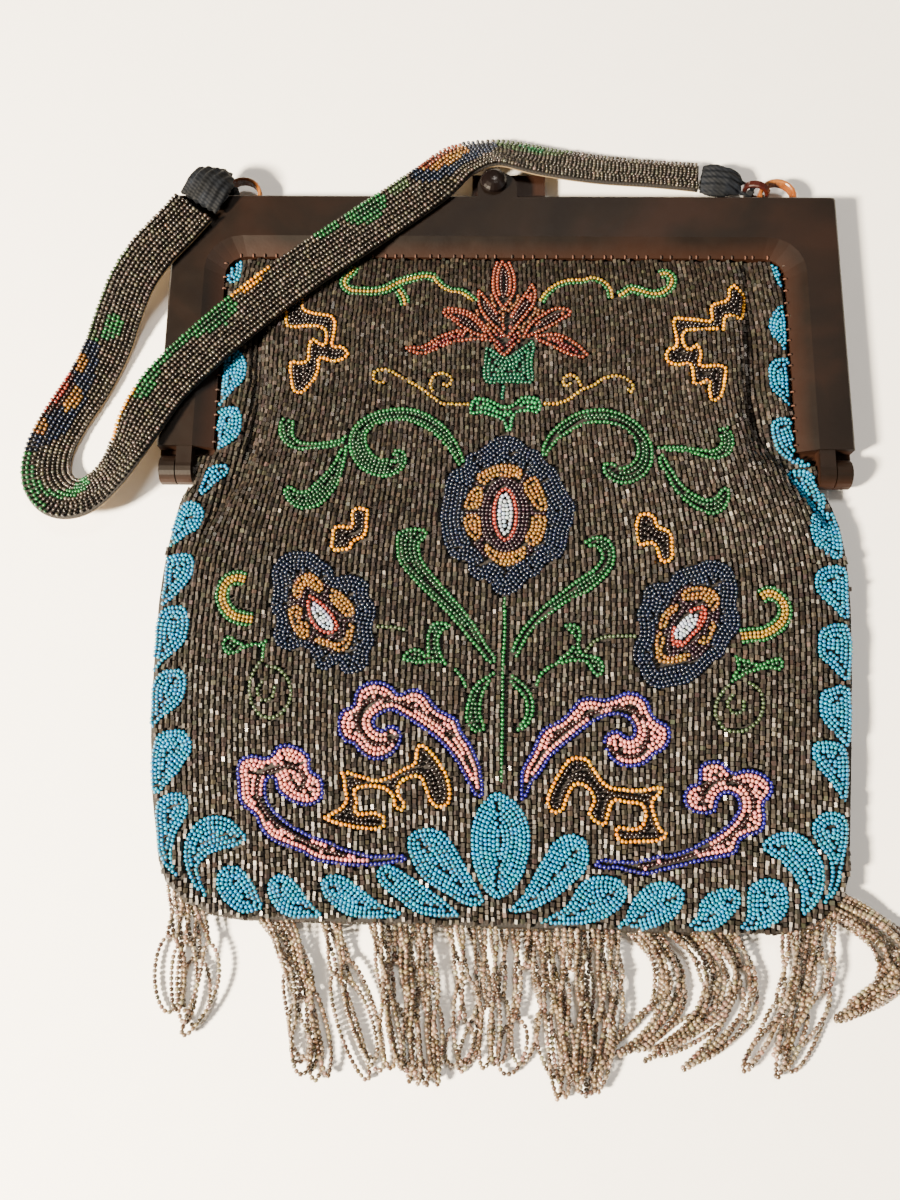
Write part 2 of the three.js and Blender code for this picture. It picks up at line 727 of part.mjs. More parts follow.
// Height of the front cloth's outer face over the seam: a crown, the gathers under the top
// bar, the flaps standing beside the frame's legs and the valleys of the side folds
function frontRise(down, across, x) {
  const crown = along(fullness, 'rise', down) * crownHeight * (1 - Math.abs(across) ** crownFullness);
  const besideLeg = Math.max(0, Math.abs(across) - 1 + flapShare) / flapShare;
  const flap = 1 + (down < flapReach ? flapRise * besideLeg : 0);
  const fade = Math.max(0, 1 - down / gatherReach);
  const gather = 1 + gatherDepth * fade * Math.cos(x / gatherPitch * 2 * Math.PI);
  return wall + crown * flap * gather * (1 - foldAt(down, across));
}

// Height of the back cloth's outer face: lifted to the seam at its edges, flat between
function backLift(down, across) {
  const nearMouth = Math.max(0, 1 - down / liftReach);
  const nearHem = Math.max(0, 1 - (1 - down) / liftReach * 2);
  const ends = Math.max(nearMouth, nearHem) ** 1.5;
  return (halfThickness - wall) * (1 - (1 - Math.abs(across) ** (2 * crownFullness)) * (1 - ends));
}

// A cloth sheet: two grids a wall apart, joined round their shared outline
function sheet(rows, columns, outerZ, innerZ) {
  const points = [];
  for (const faceZ of [outerZ, innerZ]) {
    for (const y of rows) {
      const down = (mouthY - y) / bagLength;
      for (const across of columns) {
        const x = across * edgeAt(across < 0 ? 'left' : 'right', y);
        const lean = -hemSkew / 2 * across * Math.max(0, down - 0.5) * 2;
        points.push([x, y + lean, faceZ(down, across, x)]);
      }
    }
  }
  const n = columns.length;
  const m = rows.length;
  const under = n * m;
  const triangles = [];
  for (let i = 0; i < m - 1; i += 1) {
    for (let j = 0; j < n - 1; j += 1) {
      const a = i * n + j;
      triangles.push([a, a + n, a + 1], [a + 1, a + n, a + n + 1]);
      const b = under + a;
      triangles.push([b, b + 1, b + n], [b + 1, b + n + 1, b + n]);
    }
  }
  const rim = [];
  for (let j = 0; j < n - 1; j += 1) rim.push(j);
  for (let i = 0; i < m - 1; i += 1) rim.push(i * n + n - 1);
  for (let j = n - 1; j > 0; j -= 1) rim.push((m - 1) * n + j);
  for (let i = m - 1; i > 0; i -= 1) rim.push(i * n);
  rim.forEach((a, k) => {
    const b = rim[(k + 1) % rim.length];
    triangles.push([a, b, under + b], [a, under + b, under + a]);
  });
  return outward(geometryOf(points, triangles));
}

function bagFront() {
  const seam = frontBase;
  return sheet(
    bagRows(8, 13), bagColumns(30),
    (down, across, x) => seam + frontRise(down, across, x),
    (down, across, x) => seam + frontRise(down, across, x) - wall,
  );
}

function bagBack() {
  return sheet(
    bagRows(4, 7), bagColumns(16),
    (down, across) => backLift(down, across),
    (down, across) => backLift(down, across) + wall,
  );
}

// Outline of the bag's lower end, from one corner round the hem to the other
function hemLine() {
  const points = [];
  const cornerSteps = 7;
  const start = 25 * radians;
  for (const [key, side] of [['left', -1], ['right', 1]]) {
    const part = [];
    for (let i = 0; i <= cornerSteps; i += 1) {
      const turn = start + (Math.PI / 2 - start) * (i / cornerSteps);
      const y = hemY + hemCornerDown * (1 - Math.sin(turn));
      const lean = -hemSkew / 2 * side * Math.max(0, (mouthY - y) / bagLength - 0.5) * 2;
      part.push([side * edgeAt(key, y), y + lean]);
    }
    points.push(...(side < 0 ? part : part.reverse()));
  }
  return points;
}

// Place and outward direction on a plan line at a share of its length
function placeOn(line, share) {
  const lengths = [0];
  for (let i = 1; i < line.length; i += 1) {
    lengths.push(lengths[i - 1] + Math.hypot(line[i][0] - line[i - 1][0], line[i][1] - line[i - 1][1]));
  }
  const want = share * lengths[lengths.length - 1];
  const i = Math.max(0, Math.min(lengths.findIndex((l) => l > want) - 1, line.length - 2));
  const part = (want - lengths[i]) / (lengths[i + 1] - lengths[i]);
  const dx = line[i + 1][0] - line[i][0];
  const dy = line[i + 1][1] - line[i][1];
  const size = Math.hypot(dx, dy);
  return {
    x: line[i][0] + part * dx,
    y: line[i][1] + part * dy,
    outX: dy / size,
    outY: -dx / size,
    length: lengths[lengths.length - 1],
  };
}

// The fringe's head is a strip just outside the hem
function fringeHead(line) {
  const steps = 36;
  const rings = [];
  for (let i = 0; i <= steps; i += 1) {
    const place = placeOn(line, THREE.MathUtils.lerp(0.002, 0.998, i / steps));
    const near = headGap;
    const far = headGap + headDepth;
    rings.push([
      [place.x + place.outX * near, place.y + place.outY * near, 0],
      [place.x + place.outX * far, place.y + place.outY * far, 0],
      [place.x + place.outX * far, place.y + place.outY * far, headThickness * 0.7],
      [place.x + place.outX * near, place.y + place.outY * near, headThickness],
    ]);
  }
  return solidOf(loft(rings));
}

// One lock: a low mound that leaves the head, bends sideways and tapers to its looped tip
function fringeLock(line, lock) {
  const root = placeOn(line, lock.at);
  const steps = 6;
  const height = lockThickness * lock.high;
  const rootWidth = lock.root * root.length;
  const rings = [];
  for (let i = 0; i <= steps; i += 1) {
    const t = i / steps;
    const drop = lock.drop * fringeLength * t;
    const bend = 2 * t * (1 - t) * 2 * lock.shift1 + t * t * (lock.shift2);
    const spread = (1 - t) * (1 - t) * rootWidth
      + (2 * t * (1 - t) * lock.width1 * 1.3 + t * t * lock.width2) * fringeLength;
    const half = spread / 2 * (i === steps ? 0.55 : 1);
    const x = root.x + root.outX * (headGap + headDepth / 2) * (1 - t) + bend * fringeLength;
    const y = root.y + root.outY * (headGap + headDepth / 2) - drop;
    const high = height * (i === steps ? 0.4 : 1);
    rings.push([
      [x - half, y, 0], [x + half, y, 0], [x + half * 0.85, y, high * 0.6],
      [x + half * 0.4, y, high], [x - half * 0.4, y, high], [x - half * 0.85, y, high * 0.6],
    ]);
  }
  return solidOf(loft(rings));
}

function fringe() {
  const line = hemLine();
  let solid = fringeHead(line);
  for (const lock of locks) {
    solid = solid.add(fringeLock(line, lock));
  }
  return geometryFrom(solid);
}

const purse = new THREE.Group();

function piece(name, geometry, material) {
  const mesh = new THREE.Mesh(geometry, material);
  mesh.name = name;
  purse.add(mesh);
}

piece('frame_front', frontHalf(), celluloid);
piece('frame_back', backHalf(), bevelCelluloid);
piece('hinge_pin_left', hingePin(-1), steel);
piece('hinge_pin_right', hingePin(1), steel);
piece('clasp_knob', claspKnob(), knobPlastic);
piece('handle_ring_left', handleRing(ringLeft), amber);
piece('handle_ring_right', handleRing(ringRight), amber);
piece('link_ring_right', linkRing(), darkAmber);
piece('handle_tab_left', leftTab(), tabCloth);
piece('handle_tab_right', rightTab(), tabCloth);
piece('handle_band', handleBand(), handleBeads);
piece('bag_front', bagFront(), groundBeads);
piece('bag_back', bagBack(), groundBeads);
piece('fringe', fringe(), fringeBeads);

export default purse;
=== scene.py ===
# %% [markdown]
# # A beaded flapper purse
# The purse is a 1920s evening bag: a flat celluloid frame, a bag of beaded cloth, a beaded band
# for a handle and a fringe of looped bead strings. It lies on its back. Thousands of glass beads
# could be drawn as a bump on flat cloth, but real beads catch the light one by one, so here each
# bead is a small mesh, and whole fields of beads are worked out at once with numpy.

import math

import bmesh
import bpy
import numpy as np
from mathutils import Matrix, Vector
from mathutils.bvhtree import BVHTree


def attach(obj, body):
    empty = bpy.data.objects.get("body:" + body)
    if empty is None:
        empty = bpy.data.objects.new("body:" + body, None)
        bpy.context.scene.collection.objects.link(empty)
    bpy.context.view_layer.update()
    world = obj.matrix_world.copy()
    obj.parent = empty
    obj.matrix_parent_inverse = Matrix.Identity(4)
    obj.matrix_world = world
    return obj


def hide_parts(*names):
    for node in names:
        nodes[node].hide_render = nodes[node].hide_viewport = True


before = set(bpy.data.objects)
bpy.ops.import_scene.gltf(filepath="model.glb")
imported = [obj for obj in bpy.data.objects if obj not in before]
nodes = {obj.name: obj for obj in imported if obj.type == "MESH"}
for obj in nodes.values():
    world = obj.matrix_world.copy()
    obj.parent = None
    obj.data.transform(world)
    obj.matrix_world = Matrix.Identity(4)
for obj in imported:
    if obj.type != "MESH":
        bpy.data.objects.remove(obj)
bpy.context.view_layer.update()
MM = 0.001
rng = np.random.default_rng(1926)
print("nodes:", sorted(nodes))

# %% [markdown]
# ## The camera
# The picture was taken from above the bag, 12 degrees off straight down and a quarter of a metre
# away, so near things look larger. A camera could be aimed with a Track To constraint, but here
# its three axes are known, so they go straight into its matrix.

# %% Camera
EYE = np.array([-10.8, -160.2, 250.5])
FOCAL_LENGTH, SENSOR = 29.25, 36.0  # in millimetres; 975 of the photo's 1200 pixels
tilt, yaw, roll = (math.radians(v) for v in (12.13, -3.40, -2.82))
forward = np.array([math.sin(yaw) * math.sin(tilt), math.cos(yaw) * math.sin(tilt), -math.cos(tilt)])
level = np.cross(forward, [0.0, 0.0, 1.0])
level = level / np.linalg.norm(level)
upright = np.cross(level, forward)
across = level * math.cos(roll) + upright * math.sin(roll)
up = upright * math.cos(roll) - level * math.sin(roll)
VIEW_AXES = np.array([across, up, forward])
turned = Matrix((across, up, -forward)).transposed().to_4x4()
camera = bpy.data.objects.new("camera", bpy.data.cameras.new("camera"))
camera.matrix_world = Matrix.Translation(Vector(EYE * MM)) @ turned
camera.data.lens = FOCAL_LENGTH
camera.data.sensor_width = SENSOR
camera.data.clip_start = 0.01
bpy.context.scene.collection.objects.link(camera)
bpy.context.scene.camera = camera
print("camera looks along", forward.round(3))

# %% [markdown]
# ## Helpers for every material
# Colours are easiest to read as sRGB hex codes, the kind a colour picker gives, but shaders work
# in linear light, so one function turns them. Nodes could be wired by hand in the editor; here
# small functions add a node and feed it, so that each finish below is only a few lines.

# %% Colour and node helpers
def linear(code):
    """Each sRGB channel above 0.04 is ((value + 0.055) / 1.055) to the power 2.4."""
    value = np.array([int(code[i:i + 2], 16) for i in (1, 3, 5)]) / 255
    return np.where(value > 0.04045, ((value + 0.055) / 1.055) ** 2.4, value / 12.92)


def colour(code):
    """The hex colour as the four numbers that a shader's colour socket takes."""
    return (*linear(code), 1.0)


def feed(tree, made, sockets):
    """Gives each socket of a node its value, or links it to the output that feeds it."""
    for key, value in sockets.items():
        if isinstance(value, bpy.types.NodeSocket):
            tree.links.new(value, made.inputs[key])
        else:
            made.inputs[key].default_value = value


def node(tree, kind, sockets=None, **settings):
    """Adds a node, with its settings, and feeds its sockets."""
    made = tree.nodes.new(kind)
    for key, value in settings.items():
        setattr(made, key, value)
    feed(tree, made, sockets or {})
    return made


def new_material(name):
    """An empty material: its tree, and a Principled shader on its output."""
    material = bpy.data.materials.new(name)
    material.use_nodes = True
    tree = material.node_tree
    tree.nodes.clear()
    shader = node(tree, "ShaderNodeBsdfPrincipled")
    node(tree, "ShaderNodeOutputMaterial", {"Surface": shader.outputs["BSDF"]})
    return material, tree, shader


def own_place(tree):
    """Where a point lies on its piece, in metres."""
    return node(tree, "ShaderNodeTexCoord").outputs["Object"]


def noise(tree, place, scale, detail=2.0, **more):
    """A cloud of values from 0 to 1, finer with a greater scale."""
    sockets = {"Vector": place, "Scale": scale, "Detail": detail, **more}
    return node(tree, "ShaderNodeTexNoise", sockets).outputs["Fac"]


def waves(tree, place, scale, distortion, way):
    """Ridges one after another along a way, as values from 0 to 1."""
    sockets = {"Vector": place, "Scale": scale, "Distortion": distortion}
    return node(tree, "ShaderNodeTexWave", sockets, bands_direction=way).outputs["Fac"]


def relief(tree, height, strength, distance=0.0002):
    """Bumps for a shader's Normal socket, as high as the distance in metres."""
    sockets = {"Height": height, "Strength": strength, "Distance": distance}
    return node(tree, "ShaderNodeBump", sockets).outputs["Normal"]


def between(tree, value, low, high):
    """Values from 0 to 1, brought between low and high."""
    sockets = {"Value": value, "To Min": low, "To Max": high}
    return node(tree, "ShaderNodeMapRange", sockets).outputs["Result"]


def ramp(tree, factor, stops):
    """A colour ramp whose stops are (place, hex colour)."""
    made = node(tree, "ShaderNodeValToRGB", {"Fac": factor})
    while len(made.color_ramp.elements) < len(stops):
        made.color_ramp.elements.new(0.5)
    for element, (place, code) in zip(made.color_ramp.elements, stops):
        element.position = place
        element.color = colour(code)
    return made.outputs["Color"]


print("mid grey is", round(float(linear("#808080")[0]), 3), "in linear light")

# %% [markdown]
# ## Meshes from arrays
# A mesh is a list of points and a list of faces that number them. bmesh adds them one at a time,
# which is slow for a million corners; foreach_set takes a whole numpy array in one call.

# %% Mesh maker
def mesh_piece(name, points, faces, material, slot, smooth=True):
    """An object from points in millimetres and faces that all have as many corners."""
    mesh = bpy.data.meshes.new(name)
    mesh.vertices.add(len(points))
    mesh.vertices.foreach_set("co", (np.asarray(points, np.float32) * MM).ravel())
    mesh.loops.add(faces.size)
    mesh.loops.foreach_set("vertex_index", faces.astype(np.int32).ravel())
    mesh.polygons.add(len(faces))
    mesh.polygons.foreach_set("loop_start", np.arange(0, faces.size, faces.shape[1], dtype=np.int32))
    mesh.polygons.foreach_set("use_smooth", np.full(len(faces), smooth))
    mesh.update(calc_edges=True)
    mesh.materials.append(material)
    piece = bpy.data.objects.new(name, mesh)
    bpy.context.scene.collection.objects.link(piece)
    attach(piece, "root")
    return piece


def slab(top, bottom):
    """Closes two grids of the same size, one above the other, into a solid: the upper one faces
    up, the lower one down, and a rim of quads joins their four edges."""
    rows, columns = top.shape[:2]
    index = np.arange(rows * columns).reshape(rows, columns)
    low = index + rows * columns
    upper = np.stack([index[:-1, :-1], index[1:, :-1], index[1:, 1:], index[:-1, 1:]], -1).reshape(-1, 4)
    lower = np.stack([low[:-1, :-1], low[:-1, 1:], low[1:, 1:], low[1:, :-1]], -1).reshape(-1, 4)
    edge = np.concatenate([index[0, :-1], index[:-1, -1], index[-1, :0:-1], index[:0:-1, 0]])
    after = np.roll(edge, -1)
    rim = np.stack([edge, after, after + rows * columns, edge + rows * columns], 1)
    return np.vstack([top.reshape(-1, 3), bottom.reshape(-1, 3)]), np.vstack([upper, lower, rim])


def unit(vectors):
    """Each vector divided by its own length."""
    return vectors / np.maximum(np.linalg.norm(vectors, axis=-1, keepdims=True), 1e-9)


def lying(ways):
    """Flat directions as directions in space, with no rise."""
    return np.column_stack([ways, np.zeros(len(ways))])


def smooth_path(points, steps, closed=False):
    """A centripetal Catmull-Rom curve: between two points, a cubic whose slopes come from the
    neighbours, weighed by the square roots of the distances between them."""
    p = np.asarray(points, float)
    ends = (p[-1:], p[:2]) if closed else (2 * p[:1] - p[1:2], 2 * p[-1:] - p[-2:-1])
    q = np.vstack([ends[0], p, ends[1]])
    spans = len(p) if closed else len(p) - 1
    t = np.linspace(0, spans, spans * steps + 1)[:-1 if closed else None]
    i = np.minimum(t.astype(int), spans - 1)
    w = (t - i)[:, None]
    a, b, c, d = q[i], q[i + 1], q[i + 2], q[i + 3]
    da, db, dc = (
        np.maximum(np.linalg.norm(v, axis=1, keepdims=True), 1e-6) ** 0.5
        for v in (b - a, c - b, d - c))
    start = ((b - a) / da - (c - a) / (da + db) + (c - b) / db) * db
    end = ((c - b) / db - (d - b) / (db + dc) + (d - c) / dc) * db
    return b + start * w + (3 * (c - b) - 2 * start - end) * w ** 2 + (2 * (b - c) + start + end) * w ** 3


def spaced(path, pitch, closed=False):
    """Places about one pitch apart along a path, with the path's direction at each."""
    line = np.vstack([path, path[:1]]) if closed else path
    run = np.concatenate([[0], np.cumsum(np.linalg.norm(np.diff(line, axis=0), axis=1))])
    count = max(1, round(run[-1] / pitch))
    at = (np.arange(count) + 0.5) * run[-1] / count
    read = lambda where: np.stack([np.interp(where, run, line[:, k]) for k in range(line.shape[1])], 1)
    return read(at), unit(read(at + 0.3 * pitch) - read(at - 0.3 * pitch))


print("mesh helpers ready")

# %% [markdown]
# ## Measuring the bag
# The bag's solid walls stand for cloth and beads together, so the beads have to lie in them. Rays
# shot at the walls give their height at every millimetre, and their edges. The same could be done
# with a Shrinkwrap modifier, but a height grid is read for thousands of beads in one line.

# %% Heights and edges of the two walls
def triangle_tree(name):
    """The node's triangles, in millimetres, ready for rays."""
    mesh = nodes[name].data
    points = [v.co / MM for v in mesh.vertices]
    return BVHTree.FromPolygons(points, [tuple(p.vertices) for p in mesh.polygons])


GRID_X, GRID_Y = np.arange(-92.0, 93.0), np.arange(-191.0, -8.0)
OVER, BESIDE, BELOW = 60, 200, 300  # where the rays start, all well off the purse
MOUTH_TOP, SEAM_CUT = -10.7, 5.2
FOLD_DEPTH, FOLD_REACH = 1.7, 1.7


def height_grid(tree, from_above):
    """Height where a vertical ray meets the wall at each millimetre; a place with no wall takes
    its row's nearest height, and one pass of averaging softens the steps between facets."""
    high, way = (OVER, Vector((0, 0, -1))) if from_above else (-OVER, Vector((0, 0, 1)))
    hits = [[tree.ray_cast(Vector((x, y, high)), way)[0] for x in GRID_X] for y in GRID_Y]
    grid = np.array([[h.z if h else np.nan for h in row] for row in hits])
    full = [k for k, row in enumerate(grid) if np.isfinite(row).any()]
    for k in range(len(grid)):
        row = grid[min(full, key=lambda f: abs(f - k))]
        there = np.isfinite(row)
        grid[k] = np.interp(GRID_X, GRID_X[there], row[there])
    wide = np.pad(grid, 1, mode="edge")
    return sum(wide[i:i + grid.shape[0], j:j + grid.shape[1]] for i in range(3) for j in range(3)) / 9


def side_edges(tree, z):
    """Left and right edge of the wall at each half millimetre down the bag."""
    rows = []
    for y in np.arange(-11.0, -190.0, -0.5):
        left = tree.ray_cast(Vector((-BESIDE, y, z)), Vector((1, 0, 0)))[0]
        right = tree.ray_cast(Vector((BESIDE, y, z)), Vector((-1, 0, 0)))[0]
        if left and right and right.x - left.x > 6:
            rows.append((y, left.x, right.x))
    return np.array(rows)[::-1]


def hem_edge(tree, z):
    """Lowest place of the wall at each millimetre across the bag."""
    hits = [(x, tree.ray_cast(Vector((x, -BELOW, z)), Vector((0, 1, 0)))[0]) for x in GRID_X]
    return np.array([(x, h.y) for x, h in hits if h])


front_tree, back_tree = triangle_tree("bag_front"), triangle_tree("bag_back")
front_height, back_height = height_grid(front_tree, True), height_grid(back_tree, False)
EDGES = side_edges(front_tree, SEAM_CUT)
HEM = hem_edge(front_tree, SEAM_CUT)
FOLDS = [
    # where the cloth turns in beside the frame's legs, in millimetres from the mouth down
    [(67, -12), (66.3, -35), (65.6, -58), (69.2, -65), (74.8, -71.5), (84.3, -86)],
    [(-67, -33), (-65.6, -59), (-69.5, -76), (-76.7, -87)],
]
spots = np.stack(np.meshgrid(GRID_X, GRID_Y), -1).reshape(-1, 2)
for fold in FOLDS:
    line = np.array(fold, float)
    share = np.linspace(0, len(line) - 1, 90)
    dense = np.column_stack([np.interp(share, range(len(line)), line[:, k]) for k in (0, 1)])
    away = np.sqrt(((spots[:, None] - dense[None]) ** 2).sum(-1).min(1)).reshape(front_height.shape)
    front_height = front_height - FOLD_DEPTH * np.exp(-(away / FOLD_REACH) ** 2)


def read_grid(grid, places):
    """The height at each place, blended from the four grid points round it."""
    u = np.clip(places[:, 0] - GRID_X[0], 0, len(GRID_X) - 1.001)
    v = np.clip(places[:, 1] - GRID_Y[0], 0, len(GRID_Y) - 1.001)
    i, j = u.astype(int), v.astype(int)
    a, b = u - i, v - j
    near = grid[j, i] * (1 - a) + grid[j, i + 1] * a
    far = grid[j + 1, i] * (1 - a) + grid[j + 1, i + 1] * a
    return near * (1 - b) + far * b


def edge_at(y):
    """Left and right edge of the bag at the height y."""
    return np.interp(y, EDGES[:, 0], EDGES[:, 1]), np.interp(y, EDGES[:, 0], EDGES[:, 2])


def within(places, inset):
    """Whether each place lies on the bag, at least inset from its sides, mouth and hem."""
    left, right = edge_at(places[:, 1])
    low = np.interp(places[:, 0], HEM[:, 0], HEM[:, 1])
    x, y = places.T
    return (x > left + inset) & (x < right - inset) & (y > low + inset) & (y < MOUTH_TOP - inset)


def on_wall(places, grid, depth):
    """Places lifted onto a wall at a depth under its outer face, and the wall's outward way."""
    step = np.array([[1.5, 0], [0, 1.5]])
    slope = [(read_grid(grid, places + s) - read_grid(grid, places - s)) / 3.0 for s in step]
    side = 1 if grid is front_height else -1
    out = unit(np.stack([-slope[0], -slope[1], np.ones(len(places))], 1)) * side
    return np.column_stack([places, read_grid(grid, places) - side * depth]), out


print("bag from", EDGES[:, 1].min(), "to", EDGES[:, 2].max(), "mm, front up to", round(front_height.max(), 1))

# %% [markdown]
# ## The cloth under the beads
# A beaded bag is sewn on a closely woven cotton, and a little of it shows between the rows. Each
# wall is one sheet, half a millimetre thick, that follows the wall's height just under the beads.
# Its rows run across from edge to edge, and they lie closer near the rounded hem.

# %% Cotton for the cloth
cotton, tree, shader = new_material("dark_cotton_sateen")  # piece-dyed and matt, with a fine weave
place = own_place(tree)
warp, weft = (waves(tree, place, 330.0, 0.6, way) for way in ("X", "Y"))
weave = node(tree, "ShaderNodeMath", {0: warp, 1: weft}, operation="MULTIPLY").outputs[0]
feed(tree, shader, {
    "Base Color": ramp(tree, weave, [(0.1, "#0e0b0a"), (0.9, "#1c1714")]),
    "Roughness": 0.85, "Normal": relief(tree, weave, 0.4),
})
print("cloth material:", cotton.name)

# %% Front and back sheets
SHEET_ROWS, SHEET_COLUMNS = 84, 76
CLOTH_THICK, SIDE_INSET, ABOVE_MOUTH = 0.5, 0.3, 0.1


def cloth_sheet(name, grid, under, replaced):
    """Point (u, v) is at the share u of the way across and v of the way down, with z read from
    the wall's grid; a copy half a millimetre behind it closes the sheet."""
    v = 1 - (1 - np.linspace(0, 1, SHEET_ROWS)) ** 1.5
    y = (EDGES[-1, 0] + ABOVE_MOUTH) + v * (EDGES[0, 0] - EDGES[-1, 0])
    left, right = edge_at(y)
    u = np.linspace(0, 1, SHEET_COLUMNS)
    x = left[:, None] + SIDE_INSET + (right - left - 2 * SIDE_INSET)[:, None] * u
    flat = np.stack([x, np.broadcast_to(y[:, None], x.shape)], -1).reshape(-1, 2)
    lift = read_grid(grid, flat)
    side = 1 if grid is front_height else -1
    outer = np.column_stack([flat, lift - side * under]).reshape(*x.shape, 3)
    inner = outer - (0, 0, side * CLOTH_THICK)
    top, bottom = (outer, inner) if side > 0 else (inner, outer)
    sheet = mesh_piece(name, *slab(top, bottom), cotton, "beaded_cloth")
    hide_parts(replaced)


cloth_sheet("bag_cloth_front", front_height, 1.45, "bag_front")
cloth_sheet("bag_cloth_back", back_height, 1.35, "bag_back")

# %% [markdown]
# ## One bead, many times
# Seed beads are short cuts of drawn glass tube. A plain bead is a cut tube with flat facets that
# flash one by one, and a worked bead has been tumbled round. Instances of one bead would need
# geometry nodes, which do not leave Blender as a mesh, so each kind of bead is a few faces that
# are copied, turned and coloured for all its places in one array product.

# %% Bead shapes
def ring_round(sides):
    """Corners on a circle, half a unit in radius, round the thread's way, and the numbers of
    each corner and of the next one."""
    turn = np.arange(sides) * 2 * np.pi / sides
    i = np.arange(sides)
    return np.stack([np.cos(turn), np.zeros(sides), np.sin(turn)], 1) * 0.5, i, (i + 1) % sides


def cut_tube(sides):
    """Two rings of corners, half a length below and above the middle, flat walls and flat ends."""
    ring, i, j = ring_round(sides)
    fan = np.arange(1, sides - 1)
    zero = np.zeros_like(fan)
    faces = np.vstack([
        np.stack([i, j + sides, j], 1), np.stack([i, i + sides, j + sides], 1),
        np.stack([zero, fan, fan + 1], 1), np.stack([zero, fan + 1, fan], 1) + sides,
    ])
    return np.vstack([ring - (0, 0.5, 0), ring + (0, 0.5, 0)]), faces


def spindle(sides):
    """A ring of corners round the middle, and a point at each end of the thread's way."""
    ring, i, j = ring_round(sides)
    near, far = np.full(sides, sides), np.full(sides, sides + 1)
    faces = np.vstack([np.stack([i, far, j], 1), np.stack([i, j, near], 1)])
    return np.vstack([ring, [[0, -0.5, 0], [0, 0.5, 0]]]), faces


def round_bead():
    """The twenty-faced ball, half a unit in radius."""
    ball = bmesh.new()
    bmesh.ops.create_icosphere(ball, subdivisions=1, radius=0.5)
    points = np.array([v.co for v in ball.verts])
    faces = np.array([[v.index for v in f.verts] for f in ball.faces])
    ball.free()
    return points, faces


def bead_piece(name, shape, beads, material, slot, smooth=True):
    """Corner k of bead n is its centre plus the shape's corner k, stretched by the bead's size
    and turned to its own three axes. beads holds place, along, out, size and colour."""
    points, faces = shape
    along = unit(beads["along"])
    side = unit(np.cross(along, beads["out"]))
    axes = np.stack([side, along, np.cross(side, along)], 1)
    world = beads["place"][:, None] + np.einsum("kj,nj,njx->nkx", points, beads["size"], axes)
    count = len(world)
    numbers = faces[None] + (np.arange(count) * len(points))[:, None, None]
    piece = mesh_piece(name, world.reshape(-1, 3), numbers.reshape(-1, 3), material, slot, smooth)
    shade = piece.data.color_attributes.new("bead_colour", "FLOAT_COLOR", "POINT")
    rgba = np.column_stack([beads["colour"], np.ones(count)]).repeat(len(points), 0)
    shade.data.foreach_set("color", rgba.astype(np.float32).ravel())
    # for a bake, every bead has a square of its own, so its colour keeps clear of the next one's
    squares = math.ceil(math.sqrt(count))
    square = np.stack([np.arange(count) % squares, np.arange(count) // squares], 1)
    corner = np.array([[0.2, 0.2], [0.8, 0.2], [0.2, 0.8]])
    uv = (square[:, None, None] + np.broadcast_to(corner, (count, len(faces), 3, 2))) / squares
    piece.data.uv_layers.new(name="OFBake").data.foreach_set("uv", uv.astype(np.float32).ravel())
    print(name, count, "beads,", count * len(faces), "triangles")
    return piece


def rolled(along, out):
    """Each out vector turned by chance round its bead's thread."""
    turn = rng.uniform(0, 2 * np.pi, (len(out), 1))
    side = np.cross(along, out)
    return out * np.cos(turn) + side * np.sin(turn)


print("bead shapes of", [len(shape[1]) for shape in (cut_tube(5), spindle(6), round_bead())], "faces")

# %% Bead glass
def bead_glass(name, metallic, roughness, coat):
    """Glass whose colour is the bead's own, read from the mesh."""
    material, tree, shader = new_material(name)
    tint = node(tree, "ShaderNodeAttribute", attribute_name="bead_colour")
    feed(tree, shader, {
        "Base Color": tint.outputs["Color"], "Metallic": metallic, "Roughness": roughness,
        "IOR": 1.5, "Coat Weight": coat, "Coat Roughness": 0.06,
    })
    return material


# black glass with a metal coat that flashes at its facets
gunmetal = bead_glass("gunmetal_cut_glass", 0.3, 0.44, 0.05)
# coloured glass, tumbled round, with one soft highlight on each bead
opaque = bead_glass("opaque_seed_glass", 0.0, 0.30, 0.2)
# clear brownish glass with small bright highlights
clear = bead_glass("taupe_clear_glass", 0.1, 0.16, 0.8)

COLOURS = {
    "turquoise": "#138cbb", "navy": "#142038", "aubergine": "#2a1a26", "ochre": "#94672f",
    "coral": "#a23e33", "ice": "#c4d4ea", "maroon": "#2c1518", "rust": "#803c28",
    "copper": "#70452a", "crimson": "#5e1d20", "sea": "#145a42", "jade": "#227d4b",
    "leaf": "#21693a", "forest": "#154127", "moss": "#44583c", "amber": "#eda00c",
    "saffron": "#a8842c", "ink": "#1c1416", "rose": "#fa9a96", "royal": "#221a84",
    "umber": "#301a1e", "gunmetal": "#39332d", "smoke": "#554e45", "bronze": "#2a241f",
    "taupe": "#8e7a65", "brown": "#524030",
}
NAMES = list(COLOURS)
GLASS_DEPTH = 0.58  # a hex code is read at a bead's bright top; its body sends back this share
HUE_CHANCE = 0.08
PALETTE = np.array([linear(code) for code in COLOURS.values()]) * GLASS_DEPTH


def numbers_of(*words):
    """The places of some colours in the palette."""
    return [NAMES.index(word) for word in words]


def shades(numbers, spread):
    """Each bead's colour, lighter or darker by chance, with a little chance in its hue."""
    light = np.exp(rng.normal(0, spread, (len(numbers), 1)))
    hue = np.exp(rng.normal(0, HUE_CHANCE, (len(numbers), 3)))
    return np.clip(PALETTE[numbers] * light * hue, 0, 1)


print(len(NAMES), "bead colours")

